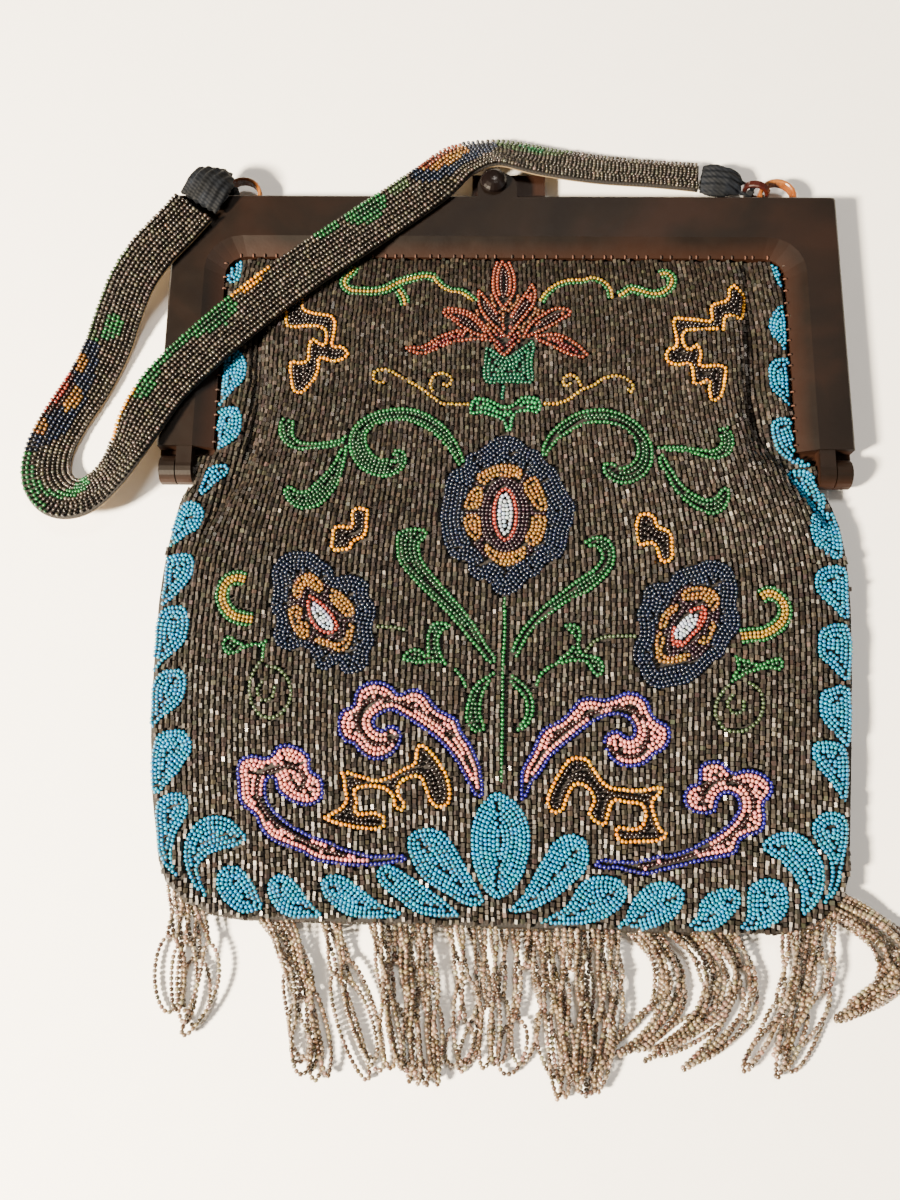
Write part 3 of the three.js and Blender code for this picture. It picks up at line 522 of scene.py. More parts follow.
# %% [markdown]
# ## The chart of the garden
# Bead work follows a chart. This one was drawn over enlarged views of the photo:
# flowers, a lotus, scrolls, angular fragments and the turquoise drops of the border. Each row of
# the first table gives the colours of its bead rows from the edge inwards, the colour of the
# rest, the view, and the outline in that view's pixels: as x,y pairs, as x,y,width for a stem
# that tapers, or as the middle and the two radii of an oval. The second table holds lines that
# are sewn as one to four rows side by side. In both, a shape that comes first lies on top. The
# third table is the handle's: its pairs are millimetres along the band and across it, and there
# a later shape lies on top. A painted picture could hold all this, but outlines stay sharp.

# %% Chart
VIEWS = {
    # left and top edge in the photo's pixels, enlargement, and height where it is one for all
    "top_left": (205, 235, 5.058, None),
    "top_right": (495, 235, 4.9, None),
    "middle_left": (145, 490, 5.058, None),
    "centre": (400, 400, 3.92, None),
    "middle_right": (560, 490, 5.058, None),
    "low_left": (145, 735, 4.3556, None),
    "low_right": (480, 735, 4.0727, None),
    "lotus": (400, 240, 7.127, 7.0),
}
PATCHES = [
    ("drop_l1", "turquoise", "turquoise", "top_left",
     "118,240 113,160 118,110 138,74 165,75 186,100 192,140 190,190 175,225 148,245"),
    ("drop_l2", "turquoise", "turquoise", "top_left",
     "120,572 155,575 190,600 209,645 208,695 190,740 150,780 108,828 75,868 62,860 68,800 75,720 "
     "80,640 92,590"),
    ("drop_l3", "turquoise", "turquoise", "top_left",
     "135,868 167,872 184,902 186,962 170,1012 130,1052 70,1087 20,1122 -4,1132 -6,1105 15,1060 "
     "35,1000 50,940 70,890 100,872"),
    ("drop_l4", "turquoise", "turquoise", "top_left",
     "118,1160 112,1200 75,1237 30,1277 0,1302 -26,1322 -32,1292 -5,1230 20,1180 60,1162 95,1156"),
    ("drop_l5", "turquoise", "turquoise", "middle_left",
     "205,62 258,60 292,90 292,142 265,192 210,227 160,267 120,290 106,272 124,220 148,160 168,108"),
    ("drop_l6", "turquoise", "turquoise", "middle_left",
     "130,328 190,314 237,324 252,372 240,432 200,492 150,542 90,587 60,604 58,560 73,480 79,400 "
     "94,348"),
    ("drop_l7", "turquoise", "turquoise", "middle_left",
     "150,583 197,588 222,630 222,702 200,772 150,822 90,872 45,924 29,912 38,850 48,770 54,690 74,618 "
     "115,588"),
    ("drop_l8", "turquoise", "turquoise", "middle_left",
     "140,903 192,908 212,950 207,1022 180,1082 130,1122 80,1162 40,1204 24,1182 28,1120 29,1050 "
     "39,978 80,918"),
    ("drop_l9", "turquoise", "turquoise", "middle_left",
     "100,1218 160,1210 205,1223 234,1265 237,1312 205,1372 165,1432 110,1492 65,1538 39,1532 30,1460 "
     "29,1370 43,1290 64,1238"),
    ("drop_l10", "turquoise", "turquoise", "low_left",
     "88,258 130,248 172,258 190,300 181,362 151,402 131,452 121,522 132,580 168,645 128,612 78,562 "
     "53,502 48,420 43,340 54,288"),
    ("corner_l", "turquoise", "turquoise", "low_left",
     "447,450 422,410 372,363 300,350 240,368 193,420 168,490 173,562 198,632 238,692 284,724 268,690 "
     "243,622 233,574 248,552 292,518 350,498 412,480"),
    ("drop_b1", "turquoise", "turquoise", "low_left",
     "318,600 350,570 402,568 442,600 477,650 497,700 517,748 490,768 430,778 378,752 328,702 308,650"),
    ("drop_b2", "turquoise", "turquoise", "low_left",
     "538,640 570,606 622,613 667,650 702,700 742,750 778,793 720,797 650,797 588,772 548,722 533,680"),
    ("drop_b3", "turquoise", "turquoise", "low_left",
     "766,640 800,608 862,613 922,648 982,698 1042,743 1124,776 1110,792 1040,797 960,797 878,782 "
     "818,742 776,690"),
    ("drop_b4", "turquoise", "turquoise", "low_left",
     "1008,600 1040,563 1092,573 1152,608 1222,658 1292,708 1352,758 1390,793 1340,793 1260,792 "
     "1178,772 1108,722 1048,672 1018,642"),
    ("drop_b5", "turquoise", "turquoise", "low_left",
     "1148,440 1180,413 1242,403 1302,423 1342,468 1382,538 1422,608 1462,678 1478,727 1450,747 "
     "1398,742 1328,702 1258,662 1198,612 1158,540 1143,480"),
    ("oval", "turquoise", "turquoise", "low_right",
     "70,233 132,258 182,318 207,400 202,490 172,582 122,642 70,668 30,645 -8,585 -32,500 -38,430 "
     "-34,370 -8,302 30,255"),
    ("drop_b6", "turquoise", "turquoise", "low_right",
     "106,724 158,670 208,590 258,500 308,428 370,402 432,427 448,490 432,552 382,602 312,662 230,704 "
     "160,724"),
    ("drop_b7", "turquoise", "turquoise", "low_right",
     "226,768 300,728 358,688 398,618 440,582 510,572 572,588 603,630 582,692 520,742 440,768 340,773"),
    ("drop_b8", "turquoise", "turquoise", "low_right",
     "556,793 588,740 618,680 658,628 720,598 792,603 833,640 822,702 782,752 700,788 620,803"),
    ("drop_b9", "turquoise", "turquoise", "low_right",
     "846,784 878,740 898,680 948,633 1010,622 1058,640 1061,690 1022,742 960,788 900,798"),
    ("drop_b10", "turquoise", "turquoise", "low_right",
     "1056,794 1088,740 1088,680 1098,618 1140,588 1190,583 1242,608 1258,660 1252,722 1200,773 "
     "1130,793"),
    ("corner_r", "turquoise", "turquoise", "low_right",
     "1147,460 1163,428 1210,398 1272,392 1332,418 1372,468 1402,530 1407,600 1392,662 1362,702 "
     "1318,736 1308,700 1308,650 1288,592 1258,552 1228,522 1188,492"),
    ("drop_r12", "turquoise", "turquoise", "low_right",
     "1378,330 1420,310 1472,318 1500,350 1502,430 1483,520 1468,602 1432,674 1394,706 1412,640 "
     "1430,560 1418,500 1388,462 1362,422 1353,370"),
    ("drop_r11", "turquoise", "turquoise", "low_right",
     "1353,60 1368,28 1420,22 1482,38 1502,80 1507,150 1502,230 1492,286 1468,252 1428,192 1378,132 "
     "1358,92"),
    ("drop_r10", "turquoise", "turquoise", "middle_right",
     "1368,1000 1430,983 1467,1000 1482,1080 1482,1180 1477,1270 1471,1310 1428,1272 1368,1212 "
     "1323,1152 1312,1080 1328,1018"),
    ("drop_r9", "turquoise", "turquoise", "middle_right",
     "1338,690 1400,670 1452,678 1477,740 1482,830 1477,910 1467,964 1428,952 1368,892 1313,842 "
     "1303,770 1313,718"),
    ("drop_r8", "turquoise", "turquoise", "middle_right",
     "1328,390 1400,378 1447,398 1460,470 1462,560 1464,645 1433,652 1378,592 1318,542 1288,480 "
     "1298,418"),
    ("drop_r7", "turquoise", "turquoise", "middle_right",
     "1288,113 1382,113 1402,160 1422,230 1432,300 1422,349 1388,347 1328,312 1283,262 1266,200 "
     "1268,138"),
    ("drop_r5", "turquoise", "turquoise", "top_right",
     "1443,1148 1500,1146 1560,1180 1600,1240 1622,1300 1618,1360 1598,1368 1545,1316 1490,1240"),
    ("drop_r4", "turquoise", "turquoise", "top_right",
     "1368,903 1400,893 1442,898 1467,940 1492,1000 1522,1060 1549,1130 1500,1142 1438,1102 1388,1052 "
     "1363,990 1353,930"),
    ("drop_r3", "turquoise", "turquoise", "top_right",
     "1393,603 1432,603 1447,650 1457,720 1462,800 1463,868 1445,852 1403,802 1358,762 1338,700 "
     "1343,640 1368,610"),
    ("drop_r2", "turquoise", "turquoise", "top_right",
     "1415,343 1432,380 1440,450 1442,520 1442,568 1420,572 1393,532 1358,492 1343,440 1358,388 "
     "1388,353"),
    ("drop_r1", "turquoise", "turquoise", "top_right",
     "1380,83 1407,93 1414,150 1417,210 1420,275 1405,284 1383,232 1358,182 1348,130 1358,93"),
    ("heart_core", "ice", "ice", "centre", "oval 413,446 31,84"),
    ("heart_ring", "coral", "coral", "centre", "oval 413,448 52,108"),
    ("heart_dark", "aubergine", "aubergine", "centre", "oval 413,450 96,148"),
    ("heart_o1", "ochre", "ochre", "centre",
     "300,300 340,270 390,252 440,253 482,274 472,308 450,322 420,302 370,302 330,333"),
    ("heart_o2", "ochre", "ochre", "centre",
     "487,320 530,298 557,340 577,390 582,432 540,432 510,392 485,350"),
    ("heart_o3", "ochre", "ochre", "centre", "520,453 577,458 572,510 547,562 510,573 489,547 510,500"),
    ("heart_o4", "ochre", "ochre", "centre",
     "335,558 370,588 420,598 460,588 495,570 490,612 450,643 400,648 360,623 335,592"),
    ("heart_o5", "ochre", "ochre", "centre", "253,453 310,448 321,490 321,532 300,553 270,532 249,490"),
    ("heart_o6", "ochre", "ochre", "centre", "263,380 290,343 321,338 326,380 311,423 253,423"),
    ("heart_spokes", "aubergine", "aubergine", "centre", "oval 415,450 158,192"),
    ("heart_petals", "navy", "navy", "centre",
     "335,178 370,150 420,139 470,154 502,185 545,198 572,240 612,268 637,318 662,368 688,410 683,470 "
     "663,522 653,582 622,623 572,643 547,683 502,703 470,743 420,768 370,752 343,712 300,702 268,672 "
     "263,632 208,622 178,572 163,512 158,450 168,390 178,328 203,278 248,258 263,213 300,202"),
    ("left_core", "ice", "ice", "middle_left",
     "845,562 880,580 922,620 952,670 950,706 905,700 865,652 843,600"),
    ("left_ring", "coral", "coral", "middle_left",
     "822,526 872,548 922,588 964,640 984,692 952,728 898,723 848,682 822,622 817,570"),
    ("left_o1", "ochre", "ochre", "middle_left",
     "800,430 840,418 882,450 907,490 890,518 850,502 820,482 802,502 790,548 758,540 748,500 763,460"),
    ("left_o2", "ochre", "ochre", "middle_left",
     "933,503 980,508 1022,543 1057,590 1057,632 1020,638 978,602 938,555"),
    ("left_o3", "ochre", "ochre", "middle_left",
     "1020,672 1067,678 1062,720 1052,770 1022,812 985,823 933,802 878,782 853,760 875,738 930,753 "
     "978,768 1008,740"),
    ("left_o4", "ochre", "ochre", "middle_left",
     "758,583 790,588 797,640 784,660 827,670 832,710 827,748 790,748 748,702 733,650 723,610"),
    ("left_spokes", "aubergine", "aubergine", "middle_left",
     "770,425 840,410 905,465 970,500 1060,580 1062,700 1055,780 985,832 900,800 800,755 735,690 "
     "722,600 740,500"),
    ("left_petals", "navy", "navy", "middle_left",
     "718,318 790,308 852,318 902,358 952,398 962,438 1022,428 1082,438 1133,470 1133,530 1168,580 "
     "1168,642 1153,702 1163,762 1133,832 1133,882 1080,923 1010,933 968,883 910,913 868,893 838,823 "
     "790,793 730,813 668,783 648,722 668,662 638,602 648,530 648,480 638,420 668,358"),
    ("right_core", "ice", "ice", "middle_right",
     "692,618 698,660 662,712 610,753 577,742 588,700 630,648"),
    ("right_ring", "coral", "coral", "middle_right",
     "737,586 744,640 722,692 672,743 620,793 573,788 561,740 572,688 620,638 670,597"),
    ("right_o1", "ochre", "ochre", "middle_right",
     "618,520 660,493 720,488 782,508 808,550 803,592 760,618 748,582 720,552 660,558 618,558"),
    ("right_o2", "ochre", "ochre", "middle_right",
     "592,563 602,602 562,642 542,692 503,702 503,650 540,598"),
    ("right_o3", "ochre", "ochre", "middle_right",
     "488,723 532,713 537,770 522,820 560,838 600,828 652,818 672,850 620,872 550,883 493,872 478,800"),
    ("right_o4", "ochre", "ochre", "middle_right",
     "760,658 793,675 772,742 742,783 700,772 690,753 738,730 753,690"),
    ("right_spokes", "aubergine", "aubergine", "middle_right",
     "620,490 720,480 800,505 812,600 795,690 760,790 680,860 580,885 490,878 475,800 500,660 560,570"),
    ("right_petals", "navy", "navy", "middle_right",
     "690,378 740,353 802,358 862,388 893,450 903,520 893,580 913,640 908,702 862,762 832,832 772,873 "
     "722,923 660,973 580,993 490,1003 428,962 398,902 368,850 373,790 398,740 398,680 388,620 418,560 "
     "428,498 490,468 548,468 578,418 630,393"),
    ("lotus_top_in", "maroon", "maroon", "top_left",
     "1510,150 1490,185 1484,240 1490,300 1512,345 1535,300 1542,240 1533,185"),
    ("lotus_top", "rust", "rust", "top_left",
     "1510,82 1470,135 1450,200 1450,275 1472,335 1512,375 1550,335 1575,280 1572,200 1545,135"),
    ("lotus_l_in", "maroon", "maroon", "top_left",
     "1410,318 1404,350 1432,400 1480,445 1512,470 1495,425 1455,375 1430,335"),
    ("lotus_l", "rust", "rust", "top_left",
     "1388,262 1376,310 1382,362 1408,410 1450,455 1495,500 1522,540 1522,470 1495,410 1450,350 "
     "1415,300"),
    ("lotus_r_in", "maroon", "maroon", "top_right",
     "165,305 172,335 140,385 95,430 55,455 70,420 105,370 140,325"),
    ("lotus_r", "rust", "rust", "top_right",
     "183,236 206,270 200,335 165,388 120,442 85,490 50,535 40,470 70,400 110,335 145,280"),
    ("lotus_ul_in", "maroon", "maroon", "top_left",
     "1265,402 1300,400 1350,430 1395,475 1405,500 1370,488 1320,460 1280,430"),
    ("lotus_ul", "rust", "rust", "top_left",
     "1200,385 1222,368 1292,370 1345,385 1402,430 1440,480 1462,525 1400,515 1360,500 1300,468 "
     "1250,436 1212,412"),
    ("lotus_ur_in", "maroon", "maroon", "top_right",
     "318,380 322,395 280,425 225,455 190,468 205,440 245,408 285,385"),
    ("lotus_ur", "rust", "rust", "top_right",
     "375,362 378,388 325,424 262,460 195,490 130,520 140,475 178,418 228,383 300,350"),
    ("lotus_ll_in", "crimson", "crimson", "top_left",
     "1090,578 1140,565 1200,528 1270,505 1340,505 1300,520 1240,540 1180,570 1120,588"),
    ("lotus_ll", "rust", "rust", "top_left",
     "1000,572 1040,560 1085,562 1125,548 1165,518 1215,496 1265,480 1330,478 1400,505 1465,520 "
     "1480,545 1400,535 1330,536 1262,545 1212,566 1162,590 1110,606 1055,600"),
    ("lotus_lr_in", "crimson", "crimson", "top_right",
     "270,505 320,520 375,545 420,580 390,578 340,558 290,530"),
    ("lotus_lr", "rust", "rust", "top_right",
     "472,592 455,572 422,538 362,498 302,476 230,480 150,490 100,520 110,540 180,512 240,535 300,565 "
     "360,593 422,608"),
    ("lotus_base", "rust", "crimson", "top_right",
     "-20,470 45,440 120,470 135,505 100,545 45,600 -10,545 -40,505"),
    ("lotus_heart", "copper", "copper", "lotus",
     "700,300 790,300 835,395 900,420 985,505 1050,520 1130,640 1000,655 955,705 850,715 755,815 "
     "690,740 560,700 440,640 395,602 430,560 545,512 600,430 645,395"),
    ("calyx", "sea", "sea", "top_left",
     "1388,540 1412,560 1455,575 1520,615 1590,575 1640,540 1657,530 1672,560 1660,640 1660,745 "
     "1560,750 1420,745 1405,690 1408,640 1412,590"),
    ("bow", "jade", "jade", "top_left",
     "1340,850 1362,818 1432,822 1482,848 1512,862 1560,850 1600,815 1660,812 1700,830 1705,880 "
     "1680,905 1600,900 1570,920 1550,1000 1525,1000 1500,942 1450,922 1400,905 1338,912"),
    ("scroll_l", "leaf", "forest", "top_left",
     "1308,1190,16 1292,1140,44 1250,1062,62 1190,990,72 1122,940,74 1050,912,74 970,906,72 890,918,70 "
     "825,948,72 780,1000,84 775,1060,96 800,1120,100 850,1165,100 910,1178,98 965,1160,90 985,1120,74 "
     "950,1105,50"),
    ("scroll_l2", "leaf", "forest", "top_left",
     "728,1000,24 700,1040,34 640,1056,40 560,1066,42 480,1066,50 425,1030,70 412,970,84 428,930,76"),
    ("scroll_l3", "leaf", "forest", "top_left",
     "718,1046 722,1100 702,1182 682,1252 642,1312 582,1368 510,1389 448,1373 408,1332 396,1290 "
     "430,1266 470,1288 510,1288 560,1248 610,1198 650,1148 682,1088"),
    ("scroll_r", "leaf", "forest", "top_right",
     "238,1112,16 246,1060,46 285,992,64 350,938,76 430,898,84 520,886,84 600,898,80 672,938,78 "
     "722,1000,82 738,1060,88 722,1122,94 672,1168,96 610,1176,92 566,1146,86 562,1110,60"),
    ("scroll_r2", "leaf", "forest", "top_right",
     "792,1034,24 850,1046,30 930,1050,34 1010,1066,42 1080,1074,56 1130,1046,68 1138,990,72 "
     "1116,940,66"),
    ("scroll_r3", "leaf", "forest", "top_right",
     "815,1056 862,1128 922,1216 972,1258 1040,1288 1080,1278 1110,1236 1148,1236 1158,1290 1133,1343 "
     "1070,1374 998,1353 938,1313 878,1253 838,1183 798,1110"),
    ("hook_l", "leaf", "forest", "centre",
     "-18,560 -12,520 20,503 60,498 106,508 104,540 82,562 90,620 132,678 192,748 252,818 304,888 "
     "344,958 384,1022 350,1034 308,984 258,924 188,844 108,764 38,694 -6,634"),
    ("hook_r", "leaf", "forest", "centre",
     "716,562 758,532 812,537 844,580 844,642 802,703 740,754 662,794 592,844 532,894 492,954 457,1016 "
     "436,992 456,930 508,858 558,808 618,758 698,698 766,650 788,612 768,582 740,578"),
    ("leaf_l", "leaf", "forest", "centre",
     "392,1056 342,1076 288,1118 262,1180 256,1252 290,1304 338,1292 322,1230 327,1170 352,1112"),
    ("leaf_r", "leaf", "forest", "centre",
     "426,1066 480,1097 523,1150 534,1212 512,1273 468,1304 446,1290 478,1250 488,1200 468,1152 "
     "428,1114"),
    ("sprig_l", "leaf", "forest", "centre",
     "104,1000 104,940 114,888 140,868 204,884 164,914 158,956 176,1012 214,1054 190,1044 140,1030 "
     "60,1034 6,1014 38,978 84,976"),
    ("sprig_r", "leaf", "forest", "centre",
     "634,884 690,877 714,908 706,960 720,992 780,1006 804,1050 782,1088 750,1064 734,1034 680,1026 "
     "626,1036 618,1016 654,990 682,950 676,918"),
    ("knot_ll", "leaf", "forest", "middle_left",
     "388,790 400,750 436,732 470,760 530,772 590,760 652,732 612,784 606,850 590,850 580,796 520,796 "
     "470,826 420,834"),
    ("knot_rr", "leaf", "forest", "middle_right",
     "862,826 912,846 960,862 1010,876 1076,852 1124,848 1136,880 1118,912 1060,906 1000,914 950,930 "
     "900,960 852,982 876,930 900,890"),
    ("cloud_ul_line", "umber", "umber", "middle_left",
     "1284,1246,13 1232,1276,13 1162,1282,13 1108,1240,13 1076,1190,13 1080,1130,13 1112,1082,13 "
     "1172,1062,13 1240,1064,13 1300,1080,13 1370,1108,13 1440,1148,13 1500,1190,13 1552,1240,13"),
    ("cloud_ul", "royal", "rose", "middle_left",
     "1712,1556 1712,1452 1687,1350 1648,1272 1606,1212 1592,1162 1545,1128 1500,1108 1466,1078 "
     "1440,1038 1400,1006 1340,1002 1284,1024 1252,988 1190,962 1120,968 1074,998 1056,1042 1048,1082 "
     "998,1106 972,1160 972,1216 1003,1273 1055,1293 1085,1333 1150,1368 1226,1358 1283,1312 1308,1250 "
     "1287,1198 1240,1182 1197,1203 1166,1175 1198,1137 1250,1122 1292,1142 1393,1206 1483,1272 "
     "1561,1362 1612,1453 1668,1548"),
    ("cloud_ur_line", "umber", "umber", "middle_right",
     "-60,1290,13 0,1232,13 60,1190,13 130,1150,13 200,1120,13 260,1102,13 330,1106,13 390,1132,13 "
     "430,1180,13 438,1240,13 420,1300,13 370,1343,13 310,1343,13 262,1312,13 242,1280,13"),
    ("cloud_ur", "royal", "rose", "middle_right",
     "-195,1590 -204,1475 -190,1401 -141,1312 -90,1207 4,1154 60,1098 100,1053 160,1042 230,1052 "
     "280,1038 340,1017 402,1027 453,1068 468,1118 503,1158 553,1188 564,1250 533,1313 482,1343 "
     "442,1383 380,1404 308,1398 248,1353 222,1300 216,1258 248,1222 300,1212 340,1242 366,1238 "
     "370,1200 345,1162 300,1142 230,1152 168,1182 68,1259 -37,1348 -88,1426 -138,1490 -168,1560"),
    ("cloud_ll_line", "umber", "umber", "low_left",
     "648,238,11 690,236,11 698,190,11 668,142,11 618,130,11 560,148,11 510,166,11 490,210,11 "
     "490,270,11 520,330,11 570,388,11 640,432,11 720,478,11 800,508,11 870,528,11"),
    ("cloud_ll", "royal", "rose", "low_left",
     "398,140 418,98 470,82 530,92 556,74 572,48 630,37 692,62 723,98 728,148 773,183 784,230 773,283 "
     "720,308 658,303 606,272 572,236 560,194 542,190 532,240 542,290 582,338 642,388 722,428 802,458 "
     "862,487 932,507 1000,521 1080,517 1130,521 1144,545 1080,562 980,572 900,573 818,563 748,552 "
     "678,513 598,483 538,452 498,402 476,352 438,323 408,282 402,220"),
    ("cloud_lr_line", "umber", "umber", "low_right",
     "920,300,11 904,240,11 930,202,11 980,182,11 1040,190,11 1090,220,11 1113,270,11 1100,320,11 "
     "1060,372,11 1010,418,11 950,450,11 880,480,11 800,508,11 720,524,11 640,534,11"),
    ("cloud_lr", "royal", "rose", "low_right",
     "827,240 857,200 888,188 893,128 930,102 990,107 1032,146 1080,136 1143,147 1194,190 1194,242 "
     "1164,282 1169,340 1153,393 1092,418 1064,432 1048,483 990,503 920,513 850,533 760,553 680,573 "
     "618,563 560,548 500,548 461,530 488,502 570,507 640,507 720,487 800,477 868,448 928,418 988,378 "
     "1028,338 1052,290 1040,253 1000,243 972,272 962,313 910,328 858,313 832,282"),
    ("key_tl", "amber", "ink", "top_left",
     "372,392 405,352 425,325 438,300 468,284 498,296 500,340 508,372 548,388 602,396 645,403 664,430 "
     "664,472 656,520 653,556 692,558 722,578 732,602 710,628 660,644 618,638 586,628 582,664 577,694 "
     "558,738 530,768 508,794 480,806 448,794 432,750 426,700 426,648 440,632 480,638 514,632 518,590 "
     "528,540 548,520 582,540 602,548 606,512 600,482 560,468 520,468 470,468 416,466 402,430 402,392"),
    ("key_tr", "amber", "ink", "top_right",
     "1172,238 1140,268 1136,310 1100,323 1058,338 1053,390 1058,412 1000,408 930,402 882,398 868,430 "
     "878,480 880,540 848,550 831,590 847,628 900,643 952,638 963,684 973,738 1020,734 1042,720 "
     "1043,762 1058,818 1108,803 1128,760 1138,700 1138,645 1090,628 1050,632 1012,632 1018,600 "
     "1016,560 990,528 952,552 932,520 938,478 1000,472 1060,467 1112,470 1127,494 1132,440 1142,402 "
     "1215,412 1234,350 1232,282 1210,262 1190,250"),
    ("key_ml", "amber", "ink", "middle_left",
     "1048,93 1090,82 1133,98 1133,150 1128,202 1112,242 1060,267 1040,302 1000,308 958,313 937,290 "
     "942,240 947,188 990,172 1038,178 1038,130"),
    ("key_mr", "amber", "ink", "middle_right",
     "383,150 398,118 450,112 487,133 502,178 546,193 573,225 578,290 578,342 545,373 503,358 488,312 "
     "468,278 430,283 398,283 383,250 378,200"),
    ("key_bl", "amber", "ink", "low_left",
     "1200,32 1242,58 1292,118 1328,188 1338,260 1323,308 1275,323 1238,292 1218,242 1198,192 1160,192 "
     "1122,212 1112,252 1142,300 1120,338 1083,312 1068,262 1030,238 960,232 922,243 934,290 928,332 "
     "1000,330 1048,350 1048,402 1000,418 940,413 878,403 818,388 760,360 798,343 868,290 863,240 "
     "857,190 846,148 900,157 960,177 1020,187 1080,167 1130,137 1168,118 1178,58"),
    ("key_br", "amber", "ink", "low_right",
     "400,82 442,93 472,138 522,198 580,212 650,217 710,207 748,208 738,245 712,272 722,330 742,378 "
     "779,405 740,433 650,443 568,438 547,400 557,368 640,373 663,350 658,292 600,282 547,277 532,320 "
     "512,373 460,353 437,320 457,260 430,217 400,207 370,240 342,313 300,323 267,280 282,220 318,150 "
     "358,98"),
]
LINES = [
    ("vine_l", "leaf saffron leaf", "top_left",
     "760,160 745,188 716,212 706,246 732,274 790,284 860,284 920,270 962,246 1010,227 1070,214 "
     "1130,208 1165,216"),
    ("vine_l2", "leaf saffron", "top_left", "1165,216 1205,256 1250,278 1300,284 1340,308 1374,340"),
    ("vine_l3", "leaf saffron leaf", "top_left", "962,262 990,290 1008,322 1014,356"),
    ("vine_r", "leaf saffron leaf", "top_right",
     "806,196 838,186 866,206 862,246 824,280 770,290 720,276 668,262 628,286 604,296"),
    ("vine_r2", "leaf saffron", "top_right",
     "568,310 556,262 520,228 480,216 430,226 370,228 310,246 262,280 228,328"),
    ("curl_l", "saffron", "top_left",
     "912,742 880,748 852,722 862,690 896,680 940,688 1000,722 1090,774 1150,820 1192,850 1250,856 "
     "1342,856"),
    ("curl_l2", "saffron", "top_left", "1156,800 1140,752 1168,704 1212,700 1250,732 1230,762 1200,748"),
    ("curl_r", "saffron", "top_right",
     "182,802 232,822 290,826 350,812 400,778 430,756 482,738 532,702 590,690 642,702 676,734 672,766 "
     "644,752"),
    ("curl_r2", "saffron", "top_right", "424,742 400,698 366,684 334,712 346,742 378,724"),
    ("crook_l", "leaf saffron saffron leaf", "middle_left",
     "512,452 462,444 420,462 396,502 394,552 414,600 452,636 502,650 548,656"),
    ("crook_r", "leaf saffron saffron leaf", "middle_right",
     "1016,540 1060,520 1108,546 1138,592 1132,650 1088,698 1028,726 960,734 912,740"),
    ("stem", "leaf", "centre", "410,770 412,900 404,1040 402,1200 400,1360 398,1500"),
    ("stem_top", "sea", "top_right", "48,722 40,762 36,806"),
    ("sprig_stem_l", "leaf", "centre", "214,1052 244,1088 262,1130"),
    ("sprig_stem_r", "leaf", "centre", "620,1030 582,1050 550,1080 534,1124"),
    ("sprig_tie_r", "moss", "centre", "724,990 766,944 812,928 980,926"),
    ("sprig_tie_l", "moss", "middle_left", "1170,690 1240,692 1320,704"),
    ("ghost_l", "moss", "middle_left",
     "600,850 560,900 530,980 540,1070 590,1140 650,1150 715,1100 740,1030 720,950 670,900 610,890"),
    ("ghost_l2", "moss", "middle_left", "600,960 570,1010 590,1060 640,1050 660,990"),
    ("ghost_r", "moss", "middle_right",
     "860,980 800,1060 790,1140 840,1210 920,1220 1000,1170 1030,1090 1010,1010 950,970"),
    ("ghost_r2", "moss", "middle_right", "880,1030 850,1080 880,1130 930,1110 930,1060"),
]
BAND_PATCHES = [
    ("moss", "20,6.7 20,5.4 30,5.2 40,5.0 47,4.2 50,6.7"),
    ("leaf", "36,0.5 38,2.5 42,3 46,2.2 49,4.6 46,5.4 44,1 43,-1.6 40,-3 37.5,-2"),
    ("navy", "46,6.7 46,2.5 50,0.5 54,-0.5 58,-1.2 62,-2.2 67,-3.2 71,-3 74,-1.5 78,0.5 80,3 80.5,6.7"),
    ("ochre", "50,5.8 53.5,6.0 56,3.4 53.5,2.4 51,3.6"),
    ("ochre", "59.5,2.4 65,2.8 67.5,0.2 64,-1.0 60,0"),
    ("ochre", "70.5,6.4 74.5,6.6 76,4.0 72.5,3.0"),
    ("maroon", "54,6.7 57,4.2 60,3.0 66,3.0 70,4.6 72,6.7"),
    ("coral", "55.5,6.7 59,4.8 63,4.2 67,4.8 70.5,6.7"),
    ("leaf", "80,6.7 80,4.2 84,3.2 88,3 92,3.4 95,4.6 96,6.7"),
    ("leaf", "86,3.4 90,1.2 94,-1 98,-3.4 101,-6.7 105,-6.7 106,-3.6 102,-1.6 97,0.4 92,2.8"),
    ("forest", "100.5,-5.6 103.5,-5.4 104,-3.6 100.5,-3"),
    ("amber", "119,-6.7 119,-5.3 128,-5.2 134,-5.3 134,-6.7"),
    ("leaf",
     "132,-3.4 135.5,-1.6 140,-2.8 146,-4.2 152,-4 157,-2 162,-0.6 167,-1.8 168.5,-4.6 167,-6.7 150,-6.8 "
     "140,-6.8 135,-6.2"),
    ("forest", "157.5,-5.2 159.5,-2.6 164,-2.2 166,-4.4 163,-5.6"),
    ("amber", "169,-6.7 169,-5.3 182,-5.3 182,-6.7"),
    ("leaf", "196.5,-6.7 197.5,-4.2 202,-3.6 204.5,-5.2 204,-6.7"),
    ("leaf", "206,-4.4 208,-1.4 213,-0.2 217.5,-1.6 219.5,-5 218,-6.8 213,-6.8 208,-6.8"),
    ("forest", "209.5,-5.2 211,-2.6 215,-2.2 216.5,-4.6 213,-5.6"),
    ("moss", "220.5,-5.8 222,-2.6 226,-2.6 228,-5.6 225,-6.8 222,-6.8"),
    ("navy", "229,-5 231,-1 236,1.8 241,3 246,2.6 251,1.8 255,-0.5 256,-4 252,-6.8 236,-6.8 231,-6.8"),
    ("ochre", "233,-5 237,-1.4 243,-0.4 248,-2 247.5,-4.6 240,-5"),
    ("rust", "232,-6.8 235,-4.6 241,-4.2 246.5,-5 248.5,-6.8"),
    ("moss", "256,-6.8 257,-1.8 264,-1.2 272,-2.8 277,-6.8"),
    ("leaf", "261,-5.4 265,-2.8 270,-4.2 266,-5.8"),
]
